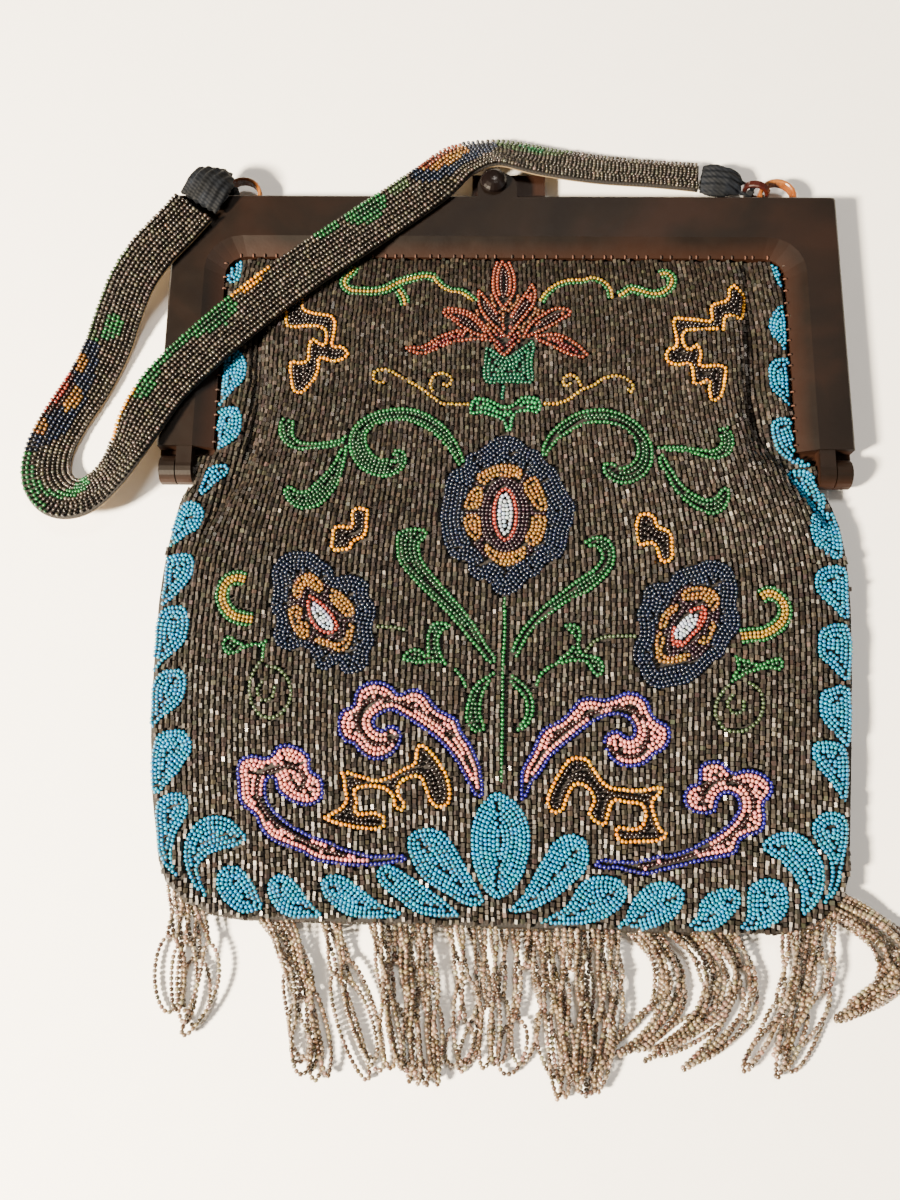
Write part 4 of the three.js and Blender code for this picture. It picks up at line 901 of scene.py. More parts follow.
print(len(PATCHES), "patches,", len(LINES), "lines and", len(BAND_PATCHES), "patches on the band")

# %% [markdown]
# ## From the photo to the bag
# The chart's pixels have to become places on the bag. A ray goes from the camera through each
# pixel and down to the bag's face. How high the face is depends on where the ray meets it, so the
# place is worked out again three times. Rays could be shot at the wall itself, but the swell of
# the bag has a simple formula, and two short tables give all that it needs.

# %% Pixels to millimetres
PHOTO_MIDDLE, FOCAL_PIXELS = np.array([450, 600]), FOCAL_LENGTH / SENSOR * 1200
MM_PER_PIXEL = 0.27
OVAL_POINTS = 16
BAG_TOP, BAG_LENGTH, SEAM_LEVEL, SWELL, BEAD_DEPTH = 10.7, 177, 6.15, 5.2, 0.6
SWELL_DOWN = np.array([
    # share of the way from the mouth to the hem, and share of the swell
    (0, 0), (0.04, 0.34), (0.12, 0.66), (0.28, 0.92), (0.45, 1), (0.70, 0.92), (0.88, 0.66),
    (0.96, 0.30), (1, 0),
])
HALF_WIDTH = np.array([
    # millimetres down the bag, and half its width there
    (10.7, 77.1), (68.7, 77.1), (74, 82.3), (76.75, 82.5), (80.1, 85.5), (85.6, 86.6), (96.7, 88.6),
    (110, 89.5), (123.3, 89.5), (138.9, 89.3), (157.7, 87.6), (172.2, 85), (187.7, 83),
])


def face_height(places):
    """The seam's level, plus the swell times its share down the bag times 1 minus the fifth
    power of the share of the way out to the side."""
    x, y = places.T
    down = np.clip((-BAG_TOP - y) / BAG_LENGTH, 0, 1)
    out = np.minimum(np.abs(x) / np.interp(-y, *HALF_WIDTH.T), 1)
    return SEAM_LEVEL + np.interp(down, *SWELL_DOWN.T) * SWELL * (1 - out ** 5)


def followed(pixels, height):
    """A pixel's ray goes forward, plus across and down by the pixel's distance from the middle
    over the focal length, as far as it takes to come down to the height."""
    aside, below = ((pixels - PHOTO_MIDDLE) / FOCAL_PIXELS).T
    ray = VIEW_AXES[2] + aside[:, None] * VIEW_AXES[0] - below[:, None] * VIEW_AXES[1]
    reach = (height - EYE[2]) / ray[:, 2]
    return (EYE + ray * reach[:, None])[:, :2]


def read_points(words):
    """A chart entry's numbers, one row a point."""
    return np.array([[float(v) for v in item.split(",")] for item in words.split()])


def on_bag(words, view):
    """A chart entry's points, and widths if it has them, in millimetres on the bag, to a tenth."""
    left, top, zoom, height = VIEWS[view]
    rows = read_points(words.removeprefix("oval "))
    if words.startswith("oval"):
        turn = np.linspace(0, 2 * np.pi, OVAL_POINTS, endpoint=False)
        rows = rows[0] + rows[1] * np.stack([np.cos(turn), np.sin(turn)], 1)
    pixels = np.array([left, top]) + rows[:, :2] / zoom
    places = followed(pixels, height or 8.0)
    for _ in range(0 if height else 3):
        places = followed(pixels, face_height(places) - BEAD_DEPTH)
    return np.hstack([places, rows[:, 2:] / zoom * MM_PER_PIXEL]).round(1)


print("first drop starts at", on_bag(PATCHES[0][-1], PATCHES[0][-2])[0], "mm")

# %% [markdown]
# ## Sewing the chart
# Bead rows follow a motif's outline inwards, row inside row, as an embroiderer fills a leaf. Each
# row is the outline moved inwards by whole bead widths; the parts that come too near the outline
# again are cut away, and the rest is dotted with beads. A grid of quarter millimetres remembers
# which places are taken, so no two motifs share a place.

# %% Fill a shape with rows
PITCH = 1.05  # from bead to bead and from row to row
CELL, CELLS = 0.25, 768
CORNER = np.array([-96.0, -196.0])
OUTLINE_STEP = 0.35
CLOSEST = 0.72  # the share of a pitch that two beads keep between their middles
ROW_SLACK = 0.12  # how much nearer than its row a bead may come to the outline
KEPT_FREE = 0.72  # how far round a sewn bead no other bead may have its middle
taken = np.zeros((CELLS, CELLS), np.int16)


def cells_of(places):
    """Row and column of each place in the quarter-millimetre grid."""
    return np.clip(((places - CORNER) / CELL).astype(int), 0, CELLS - 1)


def chart_at(places):
    """What the grid keeps at each place: nothing yet is 0, and a colour is its number plus one."""
    row, column = cells_of(places).T
    return taken[row, column]


def claim(places, number, reach):
    """The free cells within reach of each place take its colour number."""
    width = int(reach / CELL) + 1
    shift = np.stack(np.meshgrid(*[np.arange(-width, width + 1)] * 2, indexing="ij"), -1).reshape(-1, 2)
    shift = shift[np.hypot(*shift.T) * CELL <= reach]
    at = np.clip((cells_of(places)[:, None] + shift).reshape(-1, 2), 0, CELLS - 1)
    value = np.repeat(number, len(shift))
    free = taken[at[:, 0], at[:, 1]] == 0
    taken[at[free, 0], at[free, 1]] = value[free]


def grid_over(area, step):
    """Places at every step in the box round an area."""
    axes = [np.arange(a, b, step) for a, b in zip(area.min(0), area.max(0))]
    return np.stack(np.meshgrid(*axes), -1).reshape(-1, 2)


def inside(places, outline):
    """A place is inside when a level line from it crosses the outline an odd number of times."""
    ax, ay = outline.T
    bx, by = np.roll(outline, -1, 0).T
    x, y = places[:, :1], places[:, 1:]
    rise = np.where(by == ay, 1.0, by - ay)
    crossed = ((ay > y) != (by > y)) & (x < ax + (y - ay) * (bx - ax) / rise)
    return crossed.sum(1) % 2 == 1


def nearest(places, line):
    """Distance from each place to the nearest point of a line."""
    return np.sqrt(((places[:, None] - line[None]) ** 2).sum(-1).min(1))


def closed_loop(rows):
    """The outline as points about 0.35 mm apart, worked out from pairs or from x, y and width."""
    if rows.shape[1] == 3:
        line = smooth_path(rows, 8)
        way = unit(np.gradient(line[:, :2], axis=0))
        normal = np.stack([-way[:, 1], way[:, 0]], 1) * line[:, 2:] / 2
        loop = np.vstack([line[:, :2] + normal, (line[:, :2] - normal)[::-1]])
    else:
        loop = smooth_path(rows, 12, closed=True)
    return spaced(loop, OUTLINE_STEP, closed=True)[0]


def runs_of(line, keep):
    """The stretches of a closed line whose points are kept."""
    if keep.all():
        return [(line, True)]
    start = int(np.argmin(keep))
    flags = np.concatenate([np.roll(keep, -start), [False]]).astype(int)
    turned = np.roll(line, -start, 0)
    change = np.flatnonzero(np.diff(flags))
    return [(turned[a + 1:b + 1], False) for a, b in zip(change[::2], change[1::2]) if b - a >= 2]


def filled(loop):
    """Places, directions and row numbers of beads that fill a loop row inside row."""
    way = unit(np.roll(loop, -1, 0) - np.roll(loop, 1, 0))
    area = (loop[:, 0] * np.roll(loop[:, 1], -1) - loop[:, 1] * np.roll(loop[:, 0], -1)).sum()
    inward = np.stack([-way[:, 1], way[:, 0]], 1) * np.sign(area)
    probe = grid_over(loop, 2 * CELL)
    probe = probe[inside(probe, loop)]
    depth = nearest(probe, loop).max() if len(probe) else PITCH / 2
    rows = max(1, round(depth / PITCH))
    made = []
    for k in range(rows):
        offset = (k + 0.5) * depth / rows
        moved = loop + inward * offset
        for run, whole in runs_of(moved, nearest(moved, loop) >= offset - ROW_SLACK):
            place, along = spaced(run, PITCH, whole)
            made.append(np.column_stack([place, along, np.full(len(place), k)]))
    beads = np.vstack(made)
    gap = np.linalg.norm(beads[:, None, :2] - beads[None, :, :2], axis=-1)
    close = np.tril(gap < CLOSEST * PITCH, -1).any(1)
    return beads[~close]


def sew(beads, numbers, area=None):
    """Keeps the beads whose places are free and on the bag, and takes their places and, for a
    filled shape, all that lies in its outline."""
    free = (chart_at(beads[:, :2]) == 0) & within(beads[:, :2], 0.6)
    claim(beads[free, :2], numbers[free] + 1, KEPT_FREE)
    if area is not None:
        probe = grid_over(area, CELL)
        spot = probe[inside(probe, area[::3])]
        claim(spot, np.full(len(spot), numbers[-1] + 1), 0.1)
    return np.column_stack([beads[free, :4], numbers[free]])


print("sewing grid of", CELLS, "by", CELLS, "cells")

# %% Sew every motif
border, garden = [], []
for name, edge, fill, view, outline in PATCHES:
    loop = closed_loop(on_bag(outline, view))
    beads = filled(loop)
    order = np.array(numbers_of(*edge.split()))
    row = beads[:, 4].astype(int)
    numbers = np.where(row < len(order), order[np.minimum(row, len(order) - 1)], NAMES.index(fill))
    (border if edge == "turquoise" else garden).append(sew(beads, numbers, loop))
for name, words, view, points in LINES:
    line = smooth_path(on_bag(points, view), 10)
    way = unit(np.gradient(line, axis=0))
    normal = np.stack([-way[:, 1], way[:, 0]], 1)
    order = numbers_of(*words.split())
    for k, number in enumerate(order):
        place, along = spaced(line + normal * ((len(order) - 1) / 2 - k) * PITCH * 0.95, PITCH)
        beads = np.column_stack([place, along])
        garden.append(sew(beads, np.full(len(beads), number)))
border, garden = np.vstack(border), np.vstack(garden)
print(len(border), "border beads and", len(garden), "garden beads")

# %% Motif beads
MOTIF_DEPTH = 0.62  # from the wall's outer face down to a bead's middle


def motif_beads(rows, size):
    """Beads of the chart on the front wall, each a little off its place and size by chance."""
    place, out = on_wall(rows[:, :2], front_height, MOTIF_DEPTH)
    jitter = rng.normal(1, 0.05, (len(rows), 3))
    place = place + rng.normal(0, 0.04, place.shape)
    return {"place": place, "along": lying(rows[:, 2:4]), "out": out, "size": np.array(size) * jitter,
            "colour": shades(rows[:, 4].astype(int), 0.16)}


bead_piece("border_beads", round_bead(), motif_beads(border, (1.21, 1.08, 1.1)), opaque, "beaded_cloth")
bead_piece("garden_beads", round_bead(), motif_beads(garden, (1.2, 1.08, 1.1)), opaque, "beaded_cloth")

# %% [markdown]
# ## The ground
# Between the motifs, gunmetal beads in three dark tones run down the bag in straight columns,
# 118 of them, that fan out with its width. A brick pattern drawn on the cloth would be quicker,
# but here each bead is a cut tube, rolled by chance, so its facets glint unevenly. The back
# carries the same chart as seen through the cloth, in coarser beads that take its colours.

# %% Ground beads
def calm_edge(y):
    """The bag's edges averaged over 40 mm, so the columns fan out slowly past the hinges; the
    hem's rounded corners are left out of the average."""
    rows = EDGES[EDGES[:, 0] > -170]
    around = np.linspace(-20, 20, 21)
    near = y[..., None] + around
    return [np.interp(near, rows[:, 0], rows[:, k]).mean(-1) for k in (1, 2)]


def ground_places(columns, pitch):
    """Column j stands at the share (j + 0.5) / columns of the width, at every pitch down it. Four
    columns more on each side fill the places where the bag is wider than its calm edge."""
    share = ((np.arange(-4, columns + 4) + 0.5) / columns)[:, None]
    y = -11.3 - np.arange(0, 181, pitch)[None] - rng.uniform(0, pitch, (columns + 8, 1))
    left, right = calm_edge(y)
    x = left + 0.8 + (right - left - 1.6) * share
    low_left, low_right = calm_edge(y - 1)
    lean = (low_left + (low_right - low_left) * share) - (left + (right - left) * share)
    flat = np.stack([x, y, lean, np.full_like(x, -1.0)], -1).reshape(-1, 4)
    return flat[within(flat[:, :2], 0.55)]


def column_beads(flat, grid, depth, size, colours):
    """Beads along the columns, with the chance lean and roll of loose stitches."""
    place, out = on_wall(flat[:, :2], grid, depth)
    along = lying(flat[:, 2:4])
    along = unit(along - out * (along * out).sum(1, keepdims=True)) + rng.normal(0, 0.09, place.shape)
    jitter = rng.normal(1, 0.06, (len(flat), 3))
    return {"place": place + rng.normal(0, 0.05, place.shape), "along": along, "out": rolled(along, out),
            "size": np.array(size) * jitter, "colour": colours}


flat = ground_places(columns=118, pitch=1.16)
flat = flat[chart_at(flat[:, :2]) == 0]
kinds = rng.choice(numbers_of("gunmetal", "bronze", "smoke"), len(flat), p=(0.56, 0.33, 0.11))
beads = column_beads(flat, front_height, 0.72, (1.2, 1.06, 1.25), shades(kinds, 0.18))
bead_piece("ground_beads_front", cut_tube(5), beads, gunmetal, "beaded_cloth", smooth=False)

flat = ground_places(columns=112, pitch=1.32)
chart = chart_at(flat[:, :2])
kinds = np.where(chart > 0, chart - 1, rng.choice(numbers_of("gunmetal", "bronze"), len(flat)))
beads = column_beads(flat, back_height, 1.06, (1.45, 1.6, 1.35), shades(kinds, 0.2))
bead_piece("ground_beads_back", spindle(6), beads, opaque, "beaded_cloth")

# %% [markdown]
# ## Edge beads
# Along both sides and the hem, where the two walls meet, one row of beads closes the seam. It
# could be a cord with a bump map; a row of the ground's own cut beads is closer to the real one.

# %% Edge beads
SEAM_INSET, SEAM_HEIGHT, SEAM_TOP = 0.7, 4.0, -70
sides = EDGES[EDGES[:, 0] < SEAM_TOP][::-1]
low = HEM[(HEM[:, 0] > sides[-1, 1]) & (HEM[:, 0] < sides[-1, 2])]
seam = np.vstack([
    np.column_stack([sides[:, 1] + SEAM_INSET, sides[:, 0]]),
    np.column_stack([low[:, 0], low[:, 1] + SEAM_INSET]),
    np.column_stack([sides[::-1, 2] - SEAM_INSET, sides[::-1, 0]]),
])
place, along = spaced(seam, 1.25)
count, along = len(place), lying(along)
kinds = rng.choice(numbers_of("gunmetal", "bronze"), count)
beads = {
    "place": np.column_stack([place, np.full(count, SEAM_HEIGHT)]), "along": along,
    "out": rolled(along, np.tile([0.0, 0, 1], (count, 1))),
    "size": np.tile([1.35, 1.1, 1.35], (count, 1)), "colour": shades(kinds, 0.25),
}
bead_piece("edge_beads", cut_tube(5), beads, gunmetal, "beaded_cloth", smooth=False)

# %% [markdown]
# ## The handle
# The handle is a band of cloth, 13.5 mm wide, with ten columns of beads on its face and a tan
# lining that shows under it and along its edges. Its path is a table of places: where its middle
# lies, how high, and by how many degrees it rolls. Near the right tab it is drawn together to
# seven tenths of its width. A Curve object with a bevel would give a round tube, so the section
# is carried along the path by hand.

# %% Handle path
HANDLE = [
    # x, y, z in millimetres, and roll in degrees
    (-86, 2, 10.3, 0), (-91, -4.2, 9.9, 0), (-96.6, -11, 9.7, 0), (-102.2, -18.6, 7.6, 0),
    (-106.4, -27, 4.4, 0), (-109.6, -36, 2.1, 0), (-114.3, -47.2, 1.6, 0), (-119.5, -57, 1.6, 0),
    (-122.9, -66, 1.8, 2), (-122.6, -74.2, 2.8, 8), (-117.4, -80.2, 4.3, 18), (-110.2, -80.2, 5.7, 28),
    (-104.2, -75, 6.8, 32), (-99.4, -67.4, 8.4, 24), (-95.4, -59.4, 9.7, 6), (-90.3, -50.8, 10, 0),
    (-81.6, -41.2, 10.3, 0), (-70.1, -30.3, 10.8, 0), (-55.8, -17.8, 10.6, 0), (-41.1, -6.2, 10, 0),
    (-29, 3, 9.9, 0), (-19.6, 10.6, 9.8, 4), (-12.4, 18.2, 8.4, 16), (-1.8, 22.6, 5.9, 28),
    (11.5, 20.8, 4.6, 24), (27.1, 18.6, 4.2, 20), (41.3, 17.4, 4.1, 16), (55.2, 16, 4.3, 8),
]
DRAWN_FROM, DRAWN_BY = 0.86, 0.3  # shares of the length and of the width
path = smooth_path(HANDLE, 9)
way = unit(np.gradient(path[:, :3], axis=0))
level = unit(np.stack([way[:, 1], -way[:, 0], np.zeros(len(way))], 1))
rise = np.cross(level, way)
lean = np.radians(path[:, 3:])
band_face = rise * np.cos(lean) - level * np.sin(lean)
share = np.clip((np.linspace(0, 1, len(path)) - DRAWN_FROM) / (1 - DRAWN_FROM), 0, 1)
drawn = 1 - DRAWN_BY * share ** 2 * (3 - 2 * share)
band_side = (level * np.cos(lean) + rise * np.sin(lean)) * drawn[:, None]

# %% Handle cloth and lining
lining, tree, shader = new_material("tan_cotton_lining")  # unbleached cotton tape, yellowed, matt
place = own_place(tree)
stain = noise(tree, place, 60.0)
feed(tree, shader, {
    "Base Color": ramp(tree, stain, [(0.3, "#6e5d45"), (0.7, "#8f7b5c")]),
    "Roughness": 0.9, "Normal": relief(tree, noise(tree, place, 900.0, 3.0), 0.5),
})


def carried(path, side, face, section):
    """Ring i is the section carried to path point i: its first number along the band's side,
    its second along the band's face. The two end rings are closed by fans round their middle."""
    rings = path[:, None] + side[:, None] * section[None, :, :1] + face[:, None] * section[None, :, 1:]
    count, around = rings.shape[:2]
    index = np.arange(count * around).reshape(count, around)
    a, b = index[:-1], index[1:]
    walls = np.stack([a, np.roll(a, -1, 1), np.roll(b, -1, 1)], -1).reshape(-1, 3)
    more = np.stack([a, np.roll(b, -1, 1), b], -1).reshape(-1, 3)
    first, last = count * around, count * around + 1
    start = np.stack([np.full(around, first), np.roll(index[0], -1), index[0]], 1)
    end = np.stack([np.full(around, last), index[-1], np.roll(index[-1], -1)], 1)
    points = np.vstack([rings.reshape(-1, 3), rings[0].mean(0), rings[-1].mean(0)])
    return points, np.vstack([walls, more, start, end])


def outward(piece):
    """Turns every face of a closed piece outwards."""
    shell = bmesh.new()
    shell.from_mesh(piece.data)
    bmesh.ops.recalc_face_normals(shell, faces=shell.faces)
    shell.to_mesh(piece.data)
    shell.free()
    return piece


SECTION = np.array([
    # the under side with its rounded edges, and then the upper side
    (-6.5, -0.7), (-6.3, -1.1), (-5.8, -1.25), (0, -1.3), (5.8, -1.25), (6.3, -1.1), (6.5, -0.7),
    (6.5, -0.3), (6.2, -0.1), (5.7, 0.0), (0, 0.1), (-5.7, 0.0), (-6.2, -0.1), (-6.5, -0.3),
])
UPPER_SIDE = 6  # the first of the section's sides that belong to the dark upper cloth
band = carried(path[:, :3], band_side, band_face, SECTION)
handle_cloth = outward(mesh_piece("handle_cloth", *band, lining, "beaded_band"))
handle_cloth.data.materials.append(cotton)
ring = np.arange(len(SECTION))
top = np.tile((ring >= UPPER_SIDE) & (ring < len(SECTION) - 1), 2 * (len(path) - 1))
kind = np.concatenate([top, np.zeros(2 * len(SECTION), bool)]).astype(np.int32)
handle_cloth.data.polygons.foreach_set("material_index", kind)
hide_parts("handle_band")
print("handle cloth", len(kind), "faces")

# %% Handle beads
BAND_COLUMNS, COLUMN_STEP, BAND_PITCH = 10, 1.33, 1.12
BAND_LIFT = 0.55  # a bead's middle over the band's face
# grey glass with a thin metal coat, tumbled round and so less sharp in its flashes
band_glass = bead_glass("band_seed_glass", 0.3, 0.32, 0.2)

columns = (np.arange(BAND_COLUMNS) - (BAND_COLUMNS - 1) / 2) * COLUMN_STEP
rows, ways = spaced(np.column_stack([path[:, :3], band_side, band_face]), BAND_PITCH)
side, face, ahead = rows[:, 3:6], unit(rows[:, 6:9]), unit(ways[:, :3])
steps = np.linalg.norm(np.diff(rows[:, :3], axis=0), axis=1)
run = np.concatenate([[0], np.cumsum(steps)])
on_band = np.column_stack([run.repeat(BAND_COLUMNS), np.tile(columns, len(rows))])
phase = rng.uniform(-BAND_PITCH / 2, BAND_PITCH / 2, BAND_COLUMNS)
place = rows[:, None, :3] + side[:, None] * columns[None, :, None]
place = (place + face[:, None] * BAND_LIFT + ahead[:, None] * phase[None, :, None]).reshape(-1, 3)
kinds = rng.choice(numbers_of("gunmetal", "smoke", "bronze"), len(place))
for word, outline in BAND_PATCHES:
    kinds[inside(on_band, smooth_path(read_points(outline), 6, closed=True))] = NAMES.index(word)
width = np.linalg.norm(side, axis=1).repeat(BAND_COLUMNS)
size = np.array((1.26, 1.14, 1.16)) * np.stack([width, np.ones_like(width), width], 1)
beads = {
    "place": place + rng.normal(0, 0.05, place.shape),
    "along": ahead.repeat(BAND_COLUMNS, 0) + rng.normal(0, 0.08, place.shape),
    "out": face.repeat(BAND_COLUMNS, 0), "size": size * rng.normal(1, 0.05, place.shape),
    "colour": shades(kinds, 0.25),
}
bead_piece("handle_beads", round_bead(), beads, band_glass, "beaded_band")

# %% [markdown]
# ## The handle's tabs
# At both ends the band is sewn into a tab of ribbed navy silk, gathered into pleats and folded
# round the ring. The tab's solid already has the right body and the way through for the ring, so
# a copy of it is remeshed finely and its skin is moved out and in to make the pleats.

# %% Navy silk
silk, tree, shader = new_material("navy_ribbed_silk")  # grosgrain: fine ribs, worn pale in patches
place = own_place(tree)
wear = noise(tree, place, 260.0, 4.0)
feed(tree, shader, {
    "Base Color": ramp(tree, wear, [(0.35, "#04070c"), (0.64, "#0a0f17"), (0.8, "#161d27")]),
    "Roughness": 0.75, "Specular IOR Level": 0.2,
    "Normal": relief(tree, waves(tree, place, 420.0, 1.5, "DIAGONAL"), 0.35),
})
print("tab material:", silk.name)

# %% Pleated tabs
EVEN_STEP = 0.00038  # metres between the points of the fine skin
PLEAT_DEPTH = 0.48


def merged(mesh):
    """A copy of a node's mesh in which the loose triangles share their corners."""
    shell = bmesh.new()
    shell.from_mesh(mesh)
    bmesh.ops.remove_doubles(shell, verts=shell.verts, dist=1e-7)
    copy = mesh.copy()
    shell.to_mesh(copy)
    shell.free()
    return copy


def pleated_tab(name, replaced, way, pitch):
    """A point moves in along its normal by half the pleats' depth times 1 minus the cosine of
    its place across the tab, counted in pitches, so crests stay and the valleys between sink."""
    tab = bpy.data.objects.new(name, merged(nodes[replaced].data))
    bpy.context.scene.collection.objects.link(tab)
    remesh = tab.modifiers.new("even", "REMESH")
    remesh.mode, remesh.voxel_size = "VOXEL", EVEN_STEP
    bpy.context.view_layer.update()
    mesh = bpy.data.meshes.new_from_object(tab.evaluated_get(bpy.context.evaluated_depsgraph_get()))
    tab.modifiers.clear()
    tab.data = mesh
    mesh.name = name
    mesh.materials.clear()
    mesh.materials.append(silk)
    count = len(mesh.vertices)
    co, no = np.zeros(count * 3), np.zeros(count * 3)
    mesh.vertices.foreach_get("co", co)
    mesh.vertices.foreach_get("normal", no)
    co, no = co.reshape(-1, 3), no.reshape(-1, 3)
    across = co @ np.array([-way[1], way[0], 0]) / MM
    waver = 0.8 * np.sin(co @ np.array([*way, 0]) / MM * 0.4)
    sunk = (1 - np.cos(2 * np.pi * across / pitch + waver)) * PLEAT_DEPTH / 2
    mesh.vertices.foreach_set("co", (co - no * sunk[:, None] * MM).ravel())
    mesh.polygons.foreach_set("use_smooth", np.full(len(mesh.polygons), True))
    mesh.update()
    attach(tab, "root")
    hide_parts(replaced)
    print(name, len(mesh.polygons), "faces")


pleated_tab("tab_cloth_left", "handle_tab_left", (0.55, 0.83), 2.3)
pleated_tab("tab_cloth_right", "handle_tab_right", (0.97, -0.24), 2.0)

# %% [markdown]
# ## The fringe
# Strings of clear taupe beads hang from the hem. Each is a loop: down one side, round a small
# bend at the tip, and up again, with the two sides twisted round each other. They lie in ten
# locks, some swept to the right. A hair system would give single strands, so the loops are
# worked out as one array of curves, and each curve is then dotted with beads.

# %% Fringe strings
LOCKS = [
    # strings, place along the hem, root width, then sideways shift and width at the middle and
    # the tip, and the drop, all in millimetres, and how high the lock is heaped
    (5, 0.025, 9, 1.5, 13, 1.0, 9, 30, 2.6), (6, 0.160, 9, 5.5, 5, 9.5, 8, 37, 2.8),
    (3, 0.243, 5, 2.0, 5, 11.5, 6, 37, 1.8), (10, 0.346, 15, 1.2, 14, 5.0, 13, 38, 3.3),
    (8, 0.475, 22, 1.0, 18, 0.5, 18, 36, 2.8), (13, 0.602, 22, 1.0, 21, 1.0, 11, 39.5, 3.6),
    (5, 0.700, 8, 8.0, 6, -5.0, 9, 30, 2.4), (8, 0.785, 18, 8.5, 10, -7.5, 15, 32, 3.0),
    (7, 0.945, 13, 0.5, 11, -9.0, 17, 36, 3.0), (7, 0.985, 5, 15.0, 9, 1.5, 9, 27, 2.8),
]
HEM_END = 83
LOOP_POINTS = 260
LOWEST = 0.75  # a bead's middle over the table
TWIST_RADIUS, TWIST_LENGTH = 0.7, 24
hem_line = HEM[(HEM[:, 0] > -HEM_END) & (HEM[:, 0] < HEM_END)]
hem_start, hem_length = hem_line[:, 0].min(), np.ptp(hem_line[:, 0])


def hanging_loops(lock):
    """Point s of a string goes down for s below a half and up after it. Its middle follows a
    bend from root to tip; the two sides stand off it, twisted, and open into a round at the tip."""
    count, at, root, shift, middle, swing, tip, drop, heap = lock
    each = (count, 1)
    spread = ((rng.permutation(count) + 0.5) / count - 0.5)[:, None]
    s = np.linspace(0, 1, LOOP_POINTS)[None]
    down = 1 - np.abs(2 * s - 1)
    centre = hem_start + hem_length * at
    bend = 4 * down * (1 - down) * shift + down ** 2 * swing
    breadth = (1 - down) ** 2 * root + 2 * down * (1 - down) * middle + down ** 2 * tip
    wander = rng.normal(0, 1.5, each)
    wander = wander * np.sin(down * np.pi * rng.uniform(0.8, 1.6, each) + rng.uniform(0, 1, each))
    fall = drop * rng.uniform(0.84, 1.0, each)
    x = centre + spread * breadth + bend + wander * down
    begin = np.clip(centre + spread * root, -HEM_END, HEM_END)
    y = np.interp(begin, *hem_line.T) + 0.4 - fall * down
    # below its own neck each loop opens as the end of an ellipse
    opening = rng.choice([1.0, 1.6, 2.4, 3.3], each)
    neck = rng.uniform(0.25, 0.72, each)
    mouth = np.sqrt(np.clip(1 - ((down - (1 + neck) / 2) / ((1 - neck) / 2)) ** 2, 0, 1)) * opening
    twist = TWIST_RADIUS * (1 - np.clip(mouth / 1.2, 0, 1)) * np.clip((1 - down) * 20, 0, 1)
    turn = down * fall / TWIST_LENGTH * 2 * np.pi + rng.uniform(-0.8, 0.5, each)
    side = np.sign(0.5 - s)
    # the lock lies heaped, each string in its own layer, and rises to the hem at its root
    layer = LOWEST + rng.permutation(count)[:, None] / max(count - 1, 1) * (heap - LOWEST)
    z = layer * np.minimum(1.25 - down * 0.5, 1) + 0.35 + side * twist * np.sin(turn) * 0.8
    z = z + 1.6 * np.clip(1 - down * 6, 0, 1)
    return np.stack([x + side * (twist * np.cos(turn) + mouth), y, np.maximum(z, LOWEST)], -1)


strings = [line for lock in LOCKS for line in hanging_loops(lock)]
dots = [spaced(line, 1.24) for line in strings]
place, along = (np.vstack(found) for found in zip(*dots))
kinds = rng.choice(numbers_of("taupe", "brown"), len(place), p=(0.62, 0.38))
size = np.array((1.34, 1.42, 1.34)) * rng.normal(1, 0.05, place.shape)
beads = {"place": place, "along": along, "out": np.tile([0.05, 0.03, 1.0], (len(place), 1)),
         "size": size, "colour": shades(kinds, 0.22)}
fringe_strings = bead_piece("fringe_strings", round_bead(), beads, clear, "fringe_beads")
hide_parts("fringe")
print(len(strings), "loops in the fringe")

# %% [markdown]
# ## The frame, its clasp and the rings
# The frame is celluloid, an early plastic, moulded flat and marbled like tortoiseshell, with a
# soft shine dulled by handling. The rings are cast amber celluloid, and the knob is a darker
# cast. New meshes could be modelled for them, but their solids already have the right shape, so
# they only get a finish.

# %% Celluloid
BEVEL_TOP, BEVEL_FOOT = 0.0076, 0.0056  # heights in metres


def celluloid(name, dark, mid, light, roughness, coat, foot=None):
    """Marbling from two sizes of noise, with fine scratches and rubbed patches in the shine. A
    foot colour comes in down the frame's bevel, towards the stitches."""
    material, tree, shader = new_material(name)
    place = own_place(tree)
    cloud = noise(tree, place, 38.0, 6.0, Distortion=0.5)
    rub = noise(tree, place, 240.0, 6.0, Roughness=0.7)
    scratch = noise(tree, place, 1500.0, 4.0)
    tint = ramp(tree, cloud, [(0.34, dark), (0.52, mid), (0.68, light)])
    if foot:
        height = node(tree, "ShaderNodeSeparateXYZ", {"Vector": place}).outputs["Z"]
        low = node(tree, "ShaderNodeMapRange", {
            "Value": height, "From Min": BEVEL_TOP, "From Max": BEVEL_FOOT, "To Max": 0.75,
        }).outputs["Result"]
        # of a colour mix, sockets 6 and 7 are the two colours, and output 2 is the result
        mixed = node(tree, "ShaderNodeMix", {"Factor": low, 6: tint, 7: colour(foot)}, data_type="RGBA")
        tint = mixed.outputs[2]
    feed(tree, shader, {
        "Base Color": tint, "Roughness": between(tree, rub, roughness - 0.08, roughness + 0.2),
        "Normal": relief(tree, scratch, 0.08, 0.0003), "IOR": 1.5, "Specular IOR Level": 0.16,
        "Coat Weight": coat, "Coat Roughness": 0.2,
    })
    return material


# the flat halves of the frame: almost black, rubbed dull, rusty at the foot of the bevel
tortoiseshell = celluloid(
    "tortoiseshell_celluloid", "#090504", "#0f0906", "#190e09", 0.42, 0.0, foot="#26150d")
# the rings: clear and brown, and darker and redder for the linked one
amber_glow = celluloid("amber_celluloid", "#44200b", "#6c3a17", "#92602c", 0.22, 0.4)
deep_amber = celluloid("maroon_celluloid", "#1b0807", "#2c100d", "#44190f", 0.22, 0.4)
# the knob: polished by the thumb
black_knob = celluloid("black_celluloid", "#080505", "#0e0909", "#16100f", 0.16, 0.35)

